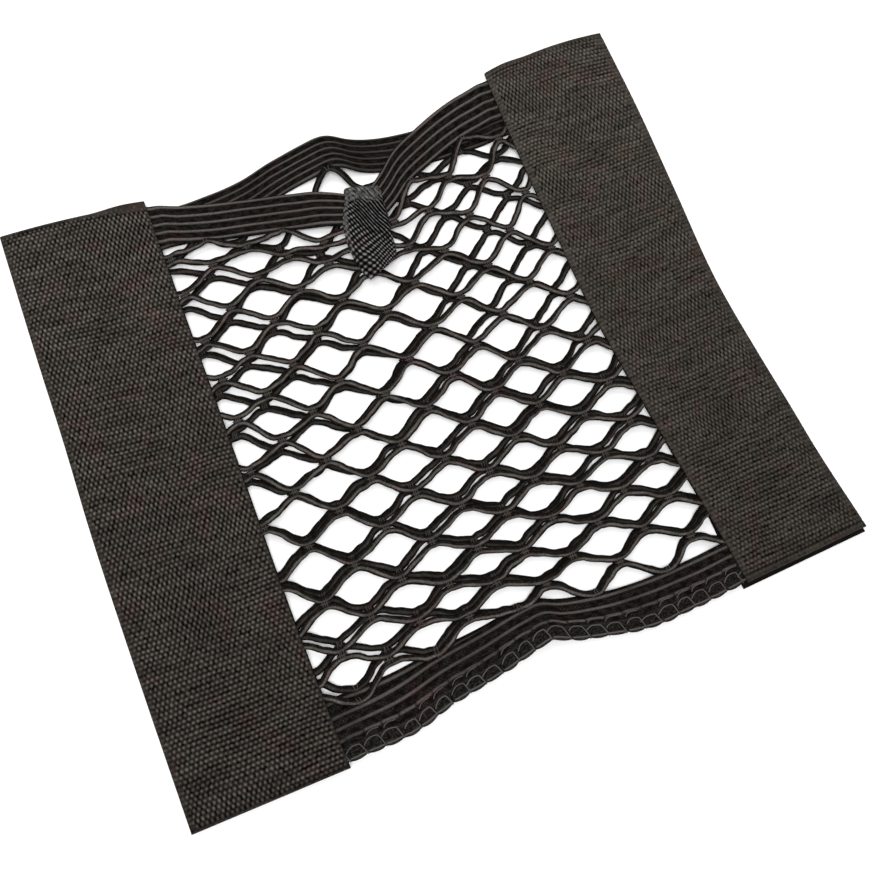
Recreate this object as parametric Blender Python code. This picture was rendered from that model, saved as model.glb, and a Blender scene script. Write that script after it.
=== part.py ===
"""An elastic net pocket for a car boot, lying flat.

Two strips of woven webbing, each on a strip of hook tape, hold a pocket between them. The pocket has a
back layer and a front layer. Each layer is a net of elastic cord between two ribbed elastic bands.
+X runs from the left strip to the right one, +Y towards the mouth of the pocket, and +Z up.
The sizes are in millimetres and are turned into metres where a mesh is made.
"""

import math
from collections import namedtuple

import bmesh
import bpy
import numpy as np

MM = 0.001

# The tables below measure x and y from the crossing of the pocket's two folds. The middle of the whole
# thing lies here, and becomes the origin.
MIDDLE_X, MIDDLE_Y = -1.7, 0.8

# Clearances and thicknesses
GAP = 0.3
TAPE_THICK = 1.2
WEBBING_THICK = 1.2
CORD_THICK = 1.9
SEAM_THICK = 1.0
RIB_VALLEY = 1.1

# The two strips. A row for each place along a strip: its outer and its inner long edge.
Edge = namedtuple("Edge", "y outer inner")
LEFT_STRIP = [
    Edge(-127.5, -146.1, -85.6),
    Edge(-62.0, -145.7, -85.2),
    Edge(-8.0, -144.8, -83.8),
    Edge(30.0, -143.2, -82.9),
    Edge(62.0, -142.4, -82.2),
    Edge(119.0, -140.4, -80.6),
]
RIGHT_STRIP = [
    Edge(-121.0, 142.8, 85.0),
    Edge(-82.0, 138.6, 82.2),
    Edge(-62.0, 137.3, 80.4),
    Edge(-40.0, 135.6, 78.6),
    Edge(0.0, 133.6, 76.0),
    Edge(44.0, 135.8, 76.2),
    Edge(88.0, 138.0, 77.0),
    Edge(126.5, 138.6, 78.8),
]
STRIP_STATIONS = 12
# The strips' corners aren't quite square: the y of each, and how far the webbing's top end bows up
Ends = namedtuple("Ends", "low_inner low_outer high_inner high_outer bow")
STRIP_ENDS = {
    -1: Ends(-127.7, -127.3, 116.2, 121.9, 1.2),
    1: Ends(-122.4, -120.2, 125.5, 128.9, 2.6),
}
# The last share of its length over which the webbing takes up that bow
END_BOW_FROM = 0.8
# The webbing lies higher over the net's ends: this far from its inner edge, and then a slope
RAISED_RIM, RIM_SLOPE = 8.0, 9.0
FLAT_FROM_RIM = 35.0
# The hook tape is sewn on a little askew, and narrower at its outer edge. At its bottom end the right
# one's inner corner stands out from under the webbing.
TAPE_SHIFT = {-1: (0.5, -0.8), 1: (1.2, -1.6)}
TAPE_CORNER_SHIFT = {-1: 0.5, 1: -1.3}
TAPE_CORNER_TO = 0.17
TAPE_INSET = 1.0
# How far the bands reach under the webbing, and the least share of a cord left out where it ends there
SEAM_OVERLAP = 6.5
LEAST_CORD_LEFT = 0.15

# Where the net and the bands climb from the floor onto the hook tape, and where the webbing squeezes
# them flat, measured from the strip's edge
CLIMB_FROM, CLIMB_TO = 13.0, 2.0
SQUEEZE_FROM, SQUEEZE_TO = 6.0, 0.8

# The ribbed bands. A row for each place along a band: its middle line and its width.
Band = namedtuple("Band", "x y width")
FRONT_TOP = [
    Band(-90, 107.6, 18.7),
    Band(-80, 104.9, 18.6),
    Band(-60, 99.3, 18.0),
    Band(-40, 94.9, 17.3),
    Band(-20, 90.5, 17.4),
    Band(-7, 86.0, 16.8),
    Band(3, 82.6, 15.1),
    Band(10, 83.4, 15.3),
    Band(17, 87.8, 16.4),
    Band(25, 94.8, 17.4),
    Band(40, 102.4, 18.2),
    Band(60, 109.8, 19.0),
    Band(78, 113.0, 19.4),
    Band(90, 114.4, 19.4),
]
BACK_TOP = [
    Band(-90, 103.4, 18.4),
    Band(-62, 103.1, 17.6),
    Band(-40, 105.5, 17.2),
    Band(-24, 110.2, 16.7),
    Band(-10, 112.3, 16.8),
    Band(1, 112.0, 16.5),
    Band(9, 108.2, 16.4),
    Band(20, 105.4, 16.8),
    Band(40, 103.2, 17.2),
    Band(62, 103.4, 18.0),
    Band(90, 105.2, 18.5),
]
FRONT_BOTTOM = [
    Band(-92, -116.7, 17.8),
    Band(-75, -115.9, 18.3),
    Band(-60, -115.2, 19.4),
    Band(-40, -111.2, 18.2),
    Band(-20, -108.6, 17.9),
    Band(-4, -106.0, 16.6),
    Band(4, -105.5, 15.8),
    Band(11, -108.1, 15.8),
    Band(22, -110.9, 16.4),
    Band(42, -114.1, 17.9),
    Band(62, -114.1, 17.3),
    Band(92, -112.6, 16.4),
]
BACK_BOTTOM_RAISE = [
    Band(-92, 5.6, 18.4),
    Band(-60, 4.6, 18.4),
    Band(-40, 2.6, 18.0),
    Band(-20, 1.8, 17.2),
    Band(4, 1.2, 16.2),
    Band(30, 0.6, 16.8),
    Band(92, 0.6, 16.8),
]
RIBS = 5
TOP_BAND_STATIONS, BACK_BOTTOM_STATIONS = 26, 22
SCALLOPS = 25
SCALLOP_DEPTH = 0.9

# The folded pocket left a crease on its middle line, where the bands still stand up a little.
CREASE_X = 1.5
BACK_CREASE_LIFT, BACK_CREASE_HALF = 4.0, 13.0
BACK_CREASE_FROM, BACK_CREASE_TO = 94.0, 104.0
BOTTOM_CREASE_LIFT, BOTTOM_CREASE_HALF = 2.6, 9.0
BOTTOM_CREASE_FROM, BOTTOM_CREASE_TO = -90.0, -99.0
CREASE_LOOSENESS = 0.25

# The nets. Cords run from strip to strip in waves, and each touches the next one at its crests. Half
# waves are counted across from 0, at the left strip, to 10. Half rows are counted down from -1, at the
# band along the mouth, to 19, at the band along the closed edge. A row for each of the half rows named:
# x at five of the half waves, then y at seven of them. Rows -1 and 19 only guide the rows beside them,
# because their own knots are tied to the bands.
NetRow = namedtuple("NetRow", "row x_1 x_2 x_3 x_4 x_5 y_1 y_2 y_3 y_4 y_5 y_6 y_7")
FIRST_WAVE, LAST_WAVE = -1, 11
MIDDLE_WAVE, NEAR_CREASE = 5, 2
X_WAVE_STEP, Y_WAVE_STEP = 3, 2
TOP_ROW, BOTTOM_ROW = -1, 19
FRONT_ROWS = [
    NetRow(-1, -94.5, -47.5, -1.0, 42.5, 85.5, 98.0, 91.0, 84.5, 69.4, 81.0, 103.0, 110.0),
    NetRow(1, -94.5, -48.5, -3.0, 45.5, 85.0, 80.0, 80.0, 73.0, 68.5, 72.0, 79.0, 80.0),
    NetRow(4, -92.5, -49.0, -4.5, 43.5, 86.0, 50.0, 48.0, 48.0, 45.5, 41.5, 39.0, 37.0),
    NetRow(8, -92.0, -48.5, -4.0, 38.0, 84.0, 15.5, 9.5, 3.0, 1.5, -2.0, -5.5, -7.0),
    NetRow(12, -98.0, -53.5, -7.5, 39.0, 85.5, -30.0, -33.5, -38.5, -42.0, -43.5, -44.5, -44.5),
    NetRow(16, -102.5, -57.5, -8.5, 40.0, 86.5, -76.5, -78.5, -79.5, -78.0, -78.0, -78.5, -80.0),
    NetRow(19, -105.0, -57.0, -4.0, 42.0, 88.5, -107.5, -107.0, -102.5, -98.0, -103.0, -105.0, -106.0),
]
BACK_ROWS = [
    NetRow(-1, -97.0, -50.5, -4.0, 39.0, 84.0, 93.0, 93.5, 97.0, 102.5, 95.5, 94.0, 95.0),
    NetRow(1, -97.0, -51.0, -5.0, 37.0, 80.0, 77.5, 76.5, 78.0, 84.0, 80.5, 79.0, 79.0),
    NetRow(4, -96.0, -51.0, -6.0, 36.0, 79.0, 46.5, 45.0, 45.5, 46.5, 45.0, 44.0, 43.5),
    NetRow(8, -95.5, -50.5, -5.5, 37.5, 82.5, 10.5, 6.0, 2.5, 4.0, 1.5, -2.0, -3.0),
    NetRow(12, -98.5, -54.0, -8.0, 38.5, 84.5, -29.5, -32.0, -35.5, -38.5, -40.5, -41.5, -41.5),
    NetRow(16, -102.0, -57.0, -8.5, 39.5, 86.0, -73.0, -75.0, -76.5, -75.0, -76.0, -76.0, -77.5),
    NetRow(19, -104.0, -56.5, -4.5, 42.0, 88.5, -101.0, -101.5, -99.5, -96.5, -102.5, -105.0, -104.5),
]
CORD_WIDE = 2.1
# Half a knot across, and how far it reaches up and down: less where a cord is tied to a band
KNOT_HALF = 1.3
KNOT_REACH, TIED_REACH = 2.6, 2.1
# Places where something holds a knot of the front net aside
Pull = namedtuple("Pull", "wave row x y")
FRONT_PULLS = [Pull(6, 2, 2.4, -3.5)]
# Steps along a cord between two knots, more of them where the layer climbs or is creased
FRONT_CORD_STEPS, BACK_CORD_STEPS, END_CORD_STEPS = 3, 1, 3

# The pull tab, from the front band's upper edge down to its tip. A row for each place along it.
Tab = namedtuple("Tab", "down left right")
TAB_OUTLINE = [
    Tab(0.00, -1.2, 13.4),
    Tab(0.15, -3.8, 12.6),
    Tab(0.35, -7.2, 12.0),
    Tab(0.60, -9.0, 10.3),
    Tab(0.82, -8.2, 9.4),
    Tab(0.95, -7.0, 7.6),
    Tab(1.00, -5.8, 5.4),
]
TAB_THICK = 1.3
TAB_TIP_LEFT, TAB_TIP_RIGHT = 50.0, 54.6
TAB_TIP_CURL, TAB_CURL_FROM = 1.2, 0.7
TAB_BACK_LEG = 7.0
TAB_COLUMNS, TAB_FRONT_STEPS, TAB_FOLD_STEPS = 5, 9, 4
# The front layer is lifted here by the tab's back leg: half the width, the fade past it, and the rise
TAB_ROOM_HALF, TAB_ROOM_FADE = 13.0, 12.0
TAB_ROOM_FROM, TAB_ROOM_TO = 62.0, 74.0

# Colours, in linear light
WEBBING_COLOUR = (0.030, 0.025, 0.022)
TAPE_COLOUR = (0.018, 0.016, 0.015)
CORD_COLOUR = (0.016, 0.013, 0.012)
BAND_COLOUR = (0.020, 0.017, 0.015)
TAB_COLOUR = (0.040, 0.038, 0.036)


def clear_scene():
    for obj in list(bpy.data.objects):
        bpy.data.objects.remove(obj, do_unlink=True)


def make_material(name, colour, roughness):
    material = bpy.data.materials.new(name)
    material.use_nodes = True
    shader = material.node_tree.nodes["Principled BSDF"]
    shader.inputs["Base Color"].default_value = (*colour, 1.0)
    shader.inputs["Roughness"].default_value = roughness
    shader.inputs["Metallic"].default_value = 0.0
    return material


def smooth_step(start, end, value):
    """0 at start, 1 at end and eased between them, whichever of the two is the larger."""
    t = min(max((value - start) / (end - start), 0.0), 1.0)
    return t * t * (3.0 - 2.0 * t)


def along(places, values, place):
    """The value at a place, on a smooth curve through the values at the given places."""
    places = np.asarray(places, float)
    values = np.asarray(values, float)
    slopes = np.gradient(values, places)
    i = int(np.clip(np.searchsorted(places, place) - 1, 0, len(places) - 2))
    step = places[i + 1] - places[i]
    t = (place - places[i]) / step
    if t < 0.0 or t > 1.0:
        end = i if t < 0.0 else i + 1
        return float(values[end] + slopes[end] * (place - places[end]))
    rise = values[i + 1] - values[i]
    bend_in = slopes[i] * step - rise
    bend_out = rise - slopes[i + 1] * step
    return float(values[i] + t * rise + t * (1.0 - t) * ((1.0 - t) * bend_in + t * bend_out))


def column(rows, name):
    return [getattr(row, name) for row in rows]


def strip_rows(side):
    return LEFT_STRIP if side < 0 else RIGHT_STRIP


def strip_edge(side, name, y):
    rows = strip_rows(side)
    return along(column(rows, "y"), column(rows, name), y)


def from_strip(x, y):
    """How far a point lies from the nearer strip's inner edge, positive out in the net."""
    return min(x - strip_edge(-1, "inner", y), strip_edge(1, "inner", y) - x)


def layer_thickness(x, y):
    """A cord's or a rib's height: full in the open net and squeezed flat under the webbing."""
    squeezed = smooth_step(SQUEEZE_FROM, SQUEEZE_TO, from_strip(x, y))
    return CORD_THICK + (SEAM_THICK - CORD_THICK) * squeezed


def crease_height(x, y):
    """How far the crease lifts the back layer, at the mouth and at the closed edge."""
    across = (x - CREASE_X) / BACK_CREASE_HALF
    mouth = BACK_CREASE_LIFT * math.exp(-across * across)
    mouth *= smooth_step(BACK_CREASE_FROM, BACK_CREASE_TO, y)
    across = (x - CREASE_X) / BOTTOM_CREASE_HALF
    bottom = BOTTOM_CREASE_LIFT * math.exp(-across * across)
    bottom *= smooth_step(BOTTOM_CREASE_FROM, BOTTOM_CREASE_TO, y)
    return mouth + bottom


def back_height(x, y):
    """The underside of the back layer: on the floor, but for the hook tape and the creases."""
    climb = (TAPE_THICK + GAP) * smooth_step(CLIMB_FROM, CLIMB_TO, from_strip(x, y))
    return climb + crease_height(x, y)


def front_height(x, y):
    """The underside of the front layer, which lies on the back one and makes room for the tab."""
    aside = abs(x - CREASE_X)
    room = smooth_step(TAB_ROOM_HALF + TAB_ROOM_FADE, TAB_ROOM_HALF, aside)
    room *= smooth_step(TAB_ROOM_FROM, TAB_ROOM_TO, y)
    lift = (TAB_THICK + GAP) * room + CREASE_LOOSENESS * crease_height(x, y)
    return back_height(x, y) + layer_thickness(x, y) + GAP + lift


def finish_object(name, mesh, material):
    """Turns a bmesh in millimetres into a named object in metres, with the origin in the middle."""
    bmesh.ops.translate(mesh, vec=(-MIDDLE_X, -MIDDLE_Y, 0.0), verts=mesh.verts)
    bmesh.ops.scale(mesh, vec=(MM, MM, MM), verts=mesh.verts)
    bmesh.ops.recalc_face_normals(mesh, faces=mesh.faces)
    data = bpy.data.meshes.new(name)
    mesh.to_mesh(data)
    mesh.free()
    data.materials.append(material)
    obj = bpy.data.objects.new(name, data)
    bpy.context.scene.collection.objects.link(obj)
    return obj


def sweep(name, rings, material):
    """A solid through a row of closed outlines with equal numbers of points, capped at both ends."""
    mesh = bmesh.new()
    loops = [[mesh.verts.new(point) for point in ring] for ring in rings]
    count = len(loops[0])
    for here, there in zip(loops, loops[1:]):
        for i in range(count):
            j = (i + 1) % count
            mesh.faces.new((here[i], here[j], there[j], there[i]))
    mesh.faces.new(loops[0])
    mesh.faces.new(loops[-1])
    return finish_object(name, mesh, material)


class PlanSolid:
    """A flat pattern of points and faces, given a height above and below to make one solid."""

    def __init__(self):
        self.points = []
        self.faces = []

    def point(self, x, y):
        self.points.append((x, y))
        return len(self.points) - 1

    def face(self, *corners):
        self.faces.append(corners)

    def build(self, name, underside, material):
        mesh = bmesh.new()
        low, high = [], []
        for x, y in self.points:
            z = underside(x, y)
            low.append(mesh.verts.new((x, y, z)))
            high.append(mesh.verts.new((x, y, z + layer_thickness(x, y))))
        sides = {}
        for corners in self.faces:
            mesh.faces.new([high[i] for i in corners])
            mesh.faces.new([low[i] for i in reversed(corners)])
            for i, j in zip(corners, corners[1:] + corners[:1]):
                if (j, i) in sides:
                    del sides[(j, i)]
                else:
                    sides[(i, j)] = True
        for i, j in sides:
            mesh.faces.new((low[i], low[j], high[j], high[i]))
        return finish_object(name, mesh, material)


def strip_line(side, t):
    """A line across a strip: its inner and its outer end, each as x and y."""
    ends = STRIP_ENDS[side]
    inner_y = ends.low_inner + (ends.high_inner - ends.low_inner) * t
    outer_y = ends.low_outer + (ends.high_outer - ends.low_outer) * t
    inner = strip_edge(side, "inner", inner_y), inner_y
    return inner, (strip_edge(side, "outer", outer_y), outer_y)


def build_strip(side, word, webbing, tape):
    """One side of the pocket: the woven webbing over the net's ends, and the hook tape under them."""
    foot = RAISED_RIM + RIM_SLOPE
    # Places across the strip, as distances from its inner edge
    across = [0.0, RAISED_RIM, RAISED_RIM + 0.5 * RIM_SLOPE, foot, FLAT_FROM_RIM]
    low = TAPE_THICK + GAP
    high = low + 2.0 * (SEAM_THICK + GAP)

    def webbing_ring(t):
        (inner, inner_y), (outer, outer_y) = strip_line(side, t)
        bow = STRIP_ENDS[side].bow * smooth_step(END_BOW_FROM, 1.0, t)
        points = []
        for step in across + [abs(outer - inner)]:
            share = step / abs(outer - inner)
            y = inner_y + (outer_y - inner_y) * share + bow * 4.0 * share * (1.0 - share)
            lift = smooth_step(foot, RAISED_RIM, step)
            points.append((inner + side * step, y, low + (high - low) * lift))
        over = [(x, y, z + WEBBING_THICK) for x, y, z in reversed(points)]
        return points + over

    def tape_ring(t):
        shift_x, shift_y = TAPE_SHIFT[side]
        shift_x += (TAPE_CORNER_SHIFT[side] - shift_x) * smooth_step(TAPE_CORNER_TO, 0.0, t)
        (inner, inner_y), (outer, outer_y) = strip_line(side, t)
        outer -= side * TAPE_INSET
        corners = [(inner + shift_x, inner_y + shift_y), (outer, outer_y + shift_y)]
        return [(x, y, 0.0) for x, y in corners] + [(x, y, TAPE_THICK) for x, y in reversed(corners)]

    stations = [i / STRIP_STATIONS for i in range(STRIP_STATIONS + 1)]
    sweep(word + "_face_webbing", [webbing_ring(t) for t in stations], webbing)
    sweep(word + "_hook_tape", [tape_ring(t) for t in stations], tape)


def band_middle(rows, x):
    return along(column(rows, "x"), column(rows, "y"), x)


def band_width(rows, x):
    return along(column(rows, "x"), column(rows, "width"), x)


def band_edges(rows, x):
    """The lower and the upper edge of a band."""
    half = 0.5 * band_width(rows, x)
    middle = band_middle(rows, x)
    return middle - half, middle + half


def back_bottom_rows():
    """The back band along the closed edge: the front one, raised towards the net as the table says."""
    names = column(BACK_BOTTOM_RAISE, "x"), column(BACK_BOTTOM_RAISE, "y")
    widths = column(BACK_BOTTOM_RAISE, "width")
    return [
        Band(row.x, row.y + along(*names, row.x), along(names[0], widths, row.x))
        for row in FRONT_BOTTOM
    ]


def band_end(side, y):
    """Where a band ends, under the webbing."""
    return strip_edge(side, "inner", y) + side * SEAM_OVERLAP


def build_band(name, rows, underside, count, material, scallop=0.0):
    """A flat elastic band with raised ribs along it, wider or narrower as its rows say."""
    left = band_end(-1, rows[0].y)
    right = band_end(1, rows[-1].y)
    # The ribs' crests and the valleys between them, as shares of the width and of the height
    valley = RIB_VALLEY / CORD_THICK
    profile = [(0.0, valley)]
    for rib in range(RIBS):
        profile.append(((rib + 0.5) / RIBS, 1.0))
        profile.append(((rib + 1.0) / RIBS, valley))
    rings = []
    for i in range(count + 1):
        x = left + (right - left) * i / count
        low_y, high_y = band_edges(rows, x)
        lobe = scallop * (i % 2)
        low_z, high_z = underside(x, low_y), underside(x, high_y)
        ring = [(x, high_y, high_z), (x, low_y - lobe, low_z)]
        for share, height in profile:
            y = low_y + (high_y - low_y) * share - lobe * (share == 0.0)
            z = low_z + (high_z - low_z) * share
            ring.append((x, y, z + height * layer_thickness(x, y)))
        rings.append(ring)
    return sweep(name, rings, material)


class Lattice:
    """The knots of one net layer, placed by its table and by the bands it is tied to."""

    def __init__(self, rows, top_band, bottom_band, pulls=()):
        self.rows = rows
        self.pulls = pulls
        self.top_band = top_band
        self.bottom_band = bottom_band
        self.levels = column(rows, "row")

    def read(self, letter, wave_step, wave, row):
        """x or y of a knot, on smooth curves through the table's columns for that letter."""
        waves = list(range(FIRST_WAVE, LAST_WAVE + 1, wave_step))
        names = [f"{letter}_{i + 1}" for i in range(len(waves))]
        values = [along(self.levels, column(self.rows, name), row) for name in names]
        return along(waves, values, wave)

    def knot(self, wave, row):
        """The place of a knot, counted in half waves across and half rows down."""
        x = self.read("x", X_WAVE_STEP, wave, row)
        ends = (x - KNOT_HALF, x, x + KNOT_HALF)
        if row == TOP_ROW:
            return x, min(band_edges(self.top_band, end)[0] for end in ends) - GAP
        if row == BOTTOM_ROW:
            return x, max(band_edges(self.bottom_band, end)[1] for end in ends) + GAP
        y = self.read("y", Y_WAVE_STEP, wave, row)
        for pull in self.pulls:
            if (wave, row) == (pull.wave, pull.row):
                x, y = x + pull.x, y + pull.y
        return x, y


def knot_reach(row):
    return TIED_REACH if row in (TOP_ROW, BOTTOM_ROW) else KNOT_REACH


def cord_side(start, end, share):
    """A point of a cord's S between two knots, and the direction across it there."""
    ease = share * share * (3.0 - 2.0 * share)
    x = start[0] + (end[0] - start[0]) * share
    y = start[1] + (end[1] - start[1]) * ease
    slope = (end[1] - start[1]) / (end[0] - start[0]) * 6.0 * share * (1.0 - share)
    length = math.hypot(1.0, slope)
    return x, y, -slope / length, 1.0 / length


def build_net(name, lattice, underside, steps, material):
    """One layer of net, with the knots as blocks of two cords and an S of cord between each pair."""
    plan = PlanSolid()
    half = 0.5 * CORD_WIDE
    knots = {}
    for row in range(TOP_ROW, BOTTOM_ROW + 1):
        for wave in range(FIRST_WAVE, LAST_WAVE + 1):
            x, y = lattice.knot(wave, row)
            under_webbing = from_strip(x, y) < KNOT_HALF - RAISED_RIM
            if (wave + row) % 2 or under_webbing:
                continue
            above = 0.0 if row == TOP_ROW else knot_reach(row)
            below = 0.0 if row == BOTTOM_ROW else knot_reach(row)
            ends = []
            for end in (x - KNOT_HALF, x + KNOT_HALF):
                middle = plan.point(end, y)
                over = plan.point(end, y + above) if above else middle
                under = plan.point(end, y - below) if below else middle
                ends.append((over, middle, under))
            (over_l, middle_l, under_l), (over_r, middle_r, under_r) = ends
            outline = [over_l, middle_l, under_l, under_r, middle_r, over_r]
            plan.face(*dict.fromkeys(outline))
            knots[(wave, row)] = (x, y, ends)

    def cord(wave, cord_row):
        """The stretch of the cord between two rows, from this half wave to the next one."""
        crest_first = (wave + cord_row) % 2 == 0
        row_here, row_there = (cord_row, cord_row + 1) if crest_first else (cord_row + 1, cord_row)
        way = 1.0 if crest_first else -1.0
        here, there = knots.get((wave, row_here)), knots.get((wave + 1, row_there))
        x0, y0 = here[:2] if here else lattice.knot(wave, row_here)
        x1, y1 = there[:2] if there else lattice.knot(wave + 1, row_there)
        start = (x0 + KNOT_HALF, y0 - way * (knot_reach(row_here) - half))
        end = (x1 - KNOT_HALF, y1 + way * (knot_reach(row_there) - half))
        first, last = 0.0, 1.0
        if not here:
            limit = band_end(-1, y1)
            first = max((limit - start[0]) / (end[0] - start[0]), LEAST_CORD_LEFT)
        if not there:
            limit = band_end(1, y0)
            last = min((limit - start[0]) / (end[0] - start[0]), 1.0 - LEAST_CORD_LEFT)
        near_strip = wave <= FIRST_WAVE + 1 or wave >= LAST_WAVE - 2
        near_band = cord_row <= TOP_ROW + 1 or cord_row >= BOTTOM_ROW - 2
        near_crease = near_band and abs(wave - MIDDLE_WAVE) < NEAR_CREASE
        count = END_CORD_STEPS if near_strip or near_crease else steps
        sides = []
        for i in range(count + 1):
            if i == 0 and here:
                over, middle, under = here[2][1]
                sides.append((middle, under) if crest_first else (over, middle))
            elif i == count and there:
                over, middle, under = there[2][0]
                sides.append((over, middle) if crest_first else (middle, under))
            else:
                share = first + (last - first) * i / count
                x, y, nx, ny = cord_side(start, end, share)
                over = plan.point(x + half * nx, y + half * ny)
                sides.append((over, plan.point(x - half * nx, y - half * ny)))
        for (over_a, under_a), (over_b, under_b) in zip(sides, sides[1:]):
            plan.face(over_a, under_a, under_b, over_b)

    for cord_row in range(TOP_ROW, BOTTOM_ROW):
        for wave in range(FIRST_WAVE, LAST_WAVE):
            cord(wave, cord_row)
    return plan.build(name, underside, material)


def build_tab(material):
    """The pull tab: a strip folded over the upper edge of the front band and hanging down in front."""
    downs = column(TAB_OUTLINE, "down")
    columns = [i / (TAB_COLUMNS - 1) for i in range(TAB_COLUMNS)]
    fold_high = CORD_THICK + 2.0 * GAP
    fold_radius = 0.5 * fold_high

    def across(down, share):
        left = along(downs, column(TAB_OUTLINE, "left"), down)
        right = along(downs, column(TAB_OUTLINE, "right"), down)
        return left + (right - left) * share

    def fold_line(x):
        return band_edges(FRONT_TOP, x)[1]

    def place(kind, amount, share, outside):
        """A point of the tab: on its back leg, on its fold or on its front leg, inside or outside."""
        thick = TAB_THICK if outside else 0.0
        if kind == "front":
            x = across(amount, share)
            tip = TAB_TIP_LEFT + (TAB_TIP_RIGHT - TAB_TIP_LEFT) * share
            y = fold_line(x) + (tip - fold_line(x)) * amount
            curl = TAB_TIP_CURL * smooth_step(TAB_CURL_FROM, 1.0, amount)
            z = front_height(x, y) + CORD_THICK + GAP + curl
            return x, y, z + thick
        x = across(0.0, share)
        middle = front_height(x, fold_line(x)) + 0.5 * CORD_THICK
        if kind == "fold":
            angle = math.pi * (amount - 0.5)
            reach = fold_radius + thick
            y = fold_line(x) + GAP + reach * math.cos(angle)
            return x, y, middle + reach * math.sin(angle)
        y = fold_line(x) - TAB_BACK_LEG * amount
        return x, y, middle - fold_radius - thick

    stops = [("back", 1.0)]
    stops += [("fold", i / TAB_FOLD_STEPS) for i in range(TAB_FOLD_STEPS + 1)]
    stops += [("front", i / TAB_FRONT_STEPS) for i in range(1, TAB_FRONT_STEPS + 1)]
    rings = []
    for kind, amount in stops:
        inner = [place(kind, amount, share, False) for share in columns]
        outer = [place(kind, amount, share, True) for share in reversed(columns)]
        rings.append(inner + outer)
    sweep("pull_tab", rings, material)


def main():
    clear_scene()
    webbing = make_material("woven_webbing", WEBBING_COLOUR, 0.75)
    tape = make_material("hook_tape", TAPE_COLOUR, 0.8)
    cord = make_material("elastic_cord", CORD_COLOUR, 0.6)
    ribbed = make_material("ribbed_elastic", BAND_COLOUR, 0.6)
    coarse = make_material("coarse_webbing", TAB_COLOUR, 0.6)
    build_strip(-1, "left", webbing, tape)
    build_strip(1, "right", webbing, tape)
    back_bottom = back_bottom_rows()
    build_band("front_top_band", FRONT_TOP, front_height, TOP_BAND_STATIONS, ribbed)
    build_band("back_top_band", BACK_TOP, back_height, TOP_BAND_STATIONS, ribbed)
    build_band("front_bottom_band", FRONT_BOTTOM, front_height, 2 * SCALLOPS, ribbed, SCALLOP_DEPTH)
    build_band("back_bottom_band", back_bottom, back_height, BACK_BOTTOM_STATIONS, ribbed)
    front = Lattice(FRONT_ROWS, FRONT_TOP, FRONT_BOTTOM, FRONT_PULLS)
    back = Lattice(BACK_ROWS, BACK_TOP, back_bottom)
    build_net("front_net", front, front_height, FRONT_CORD_STEPS, cord)
    build_net("back_net", back, back_height, BACK_CORD_STEPS, cord)
    build_tab(coarse)


main()
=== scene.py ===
"""The looks of an elastic net pocket for a car boot, lying flat.

Each piece stands for one CAD solid and follows it. The named sizes and tables of the part's source are
repeated here, in millimetres. The finer forms are added to them: the weave, round cords with the stitches
of their knots, round ribs and the knit of the elastic bands, the overlocked hem, and the tape's hooks.
+X runs from the left strip to the right one, +Y towards the mouth of the pocket, and +Z up.
"""

import math
from collections import namedtuple

import bmesh
import bpy
import numpy as np
from mathutils import Matrix, Vector


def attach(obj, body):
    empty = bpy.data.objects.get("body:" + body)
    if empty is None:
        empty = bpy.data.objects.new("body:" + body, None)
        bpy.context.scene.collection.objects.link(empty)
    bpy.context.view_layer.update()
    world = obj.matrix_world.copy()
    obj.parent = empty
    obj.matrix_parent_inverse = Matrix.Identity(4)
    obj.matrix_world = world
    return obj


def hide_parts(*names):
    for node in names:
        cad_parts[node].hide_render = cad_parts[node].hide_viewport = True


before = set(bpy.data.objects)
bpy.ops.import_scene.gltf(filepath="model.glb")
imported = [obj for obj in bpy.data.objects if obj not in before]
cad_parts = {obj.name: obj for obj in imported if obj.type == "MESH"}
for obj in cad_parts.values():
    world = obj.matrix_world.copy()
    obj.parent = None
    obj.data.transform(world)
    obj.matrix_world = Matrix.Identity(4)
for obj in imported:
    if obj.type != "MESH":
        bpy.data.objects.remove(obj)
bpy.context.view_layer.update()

MM = 0.001
FULL_TURN = 2.0 * math.pi
# The tables measure x and y from the crossing of the pocket's two folds. This place becomes the origin.
MIDDLE_X, MIDDLE_Y = -1.7, 0.8

# ---------------------------------------------------------------- sizes repeated from the part's source

GAP = 0.3
TAPE_THICK = 1.2
WEBBING_THICK = 1.2
CORD_THICK = 1.9
SEAM_THICK = 1.0
RIB_VALLEY = 1.1

Edge = namedtuple("Edge", "y outer inner")
LEFT_STRIP = [
    Edge(-127.5, -146.1, -85.6),
    Edge(-62.0, -145.7, -85.2),
    Edge(-8.0, -144.8, -83.8),
    Edge(30.0, -143.2, -82.9),
    Edge(62.0, -142.4, -82.2),
    Edge(119.0, -140.4, -80.6),
]
RIGHT_STRIP = [
    Edge(-121.0, 142.8, 85.0),
    Edge(-82.0, 138.6, 82.2),
    Edge(-62.0, 137.3, 80.4),
    Edge(-40.0, 135.6, 78.6),
    Edge(0.0, 133.6, 76.0),
    Edge(44.0, 135.8, 76.2),
    Edge(88.0, 138.0, 77.0),
    Edge(126.5, 138.6, 78.8),
]
Ends = namedtuple("Ends", "low_inner low_outer high_inner high_outer bow")
STRIP_ENDS = {
    -1: Ends(-127.7, -127.3, 116.2, 121.9, 1.2),
    1: Ends(-122.4, -120.2, 125.5, 128.9, 2.6),
}
END_BOW_FROM = 0.8
RAISED_RIM, RIM_SLOPE = 8.0, 9.0
TAPE_SHIFT = {-1: (0.5, -0.8), 1: (1.2, -1.6)}
TAPE_CORNER_SHIFT = {-1: 0.5, 1: -1.3}
TAPE_CORNER_TO = 0.17
TAPE_INSET = 1.0
SEAM_OVERLAP = 6.5
CLIMB_FROM, CLIMB_TO = 13.0, 2.0
SQUEEZE_FROM, SQUEEZE_TO = 6.0, 0.8

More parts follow.
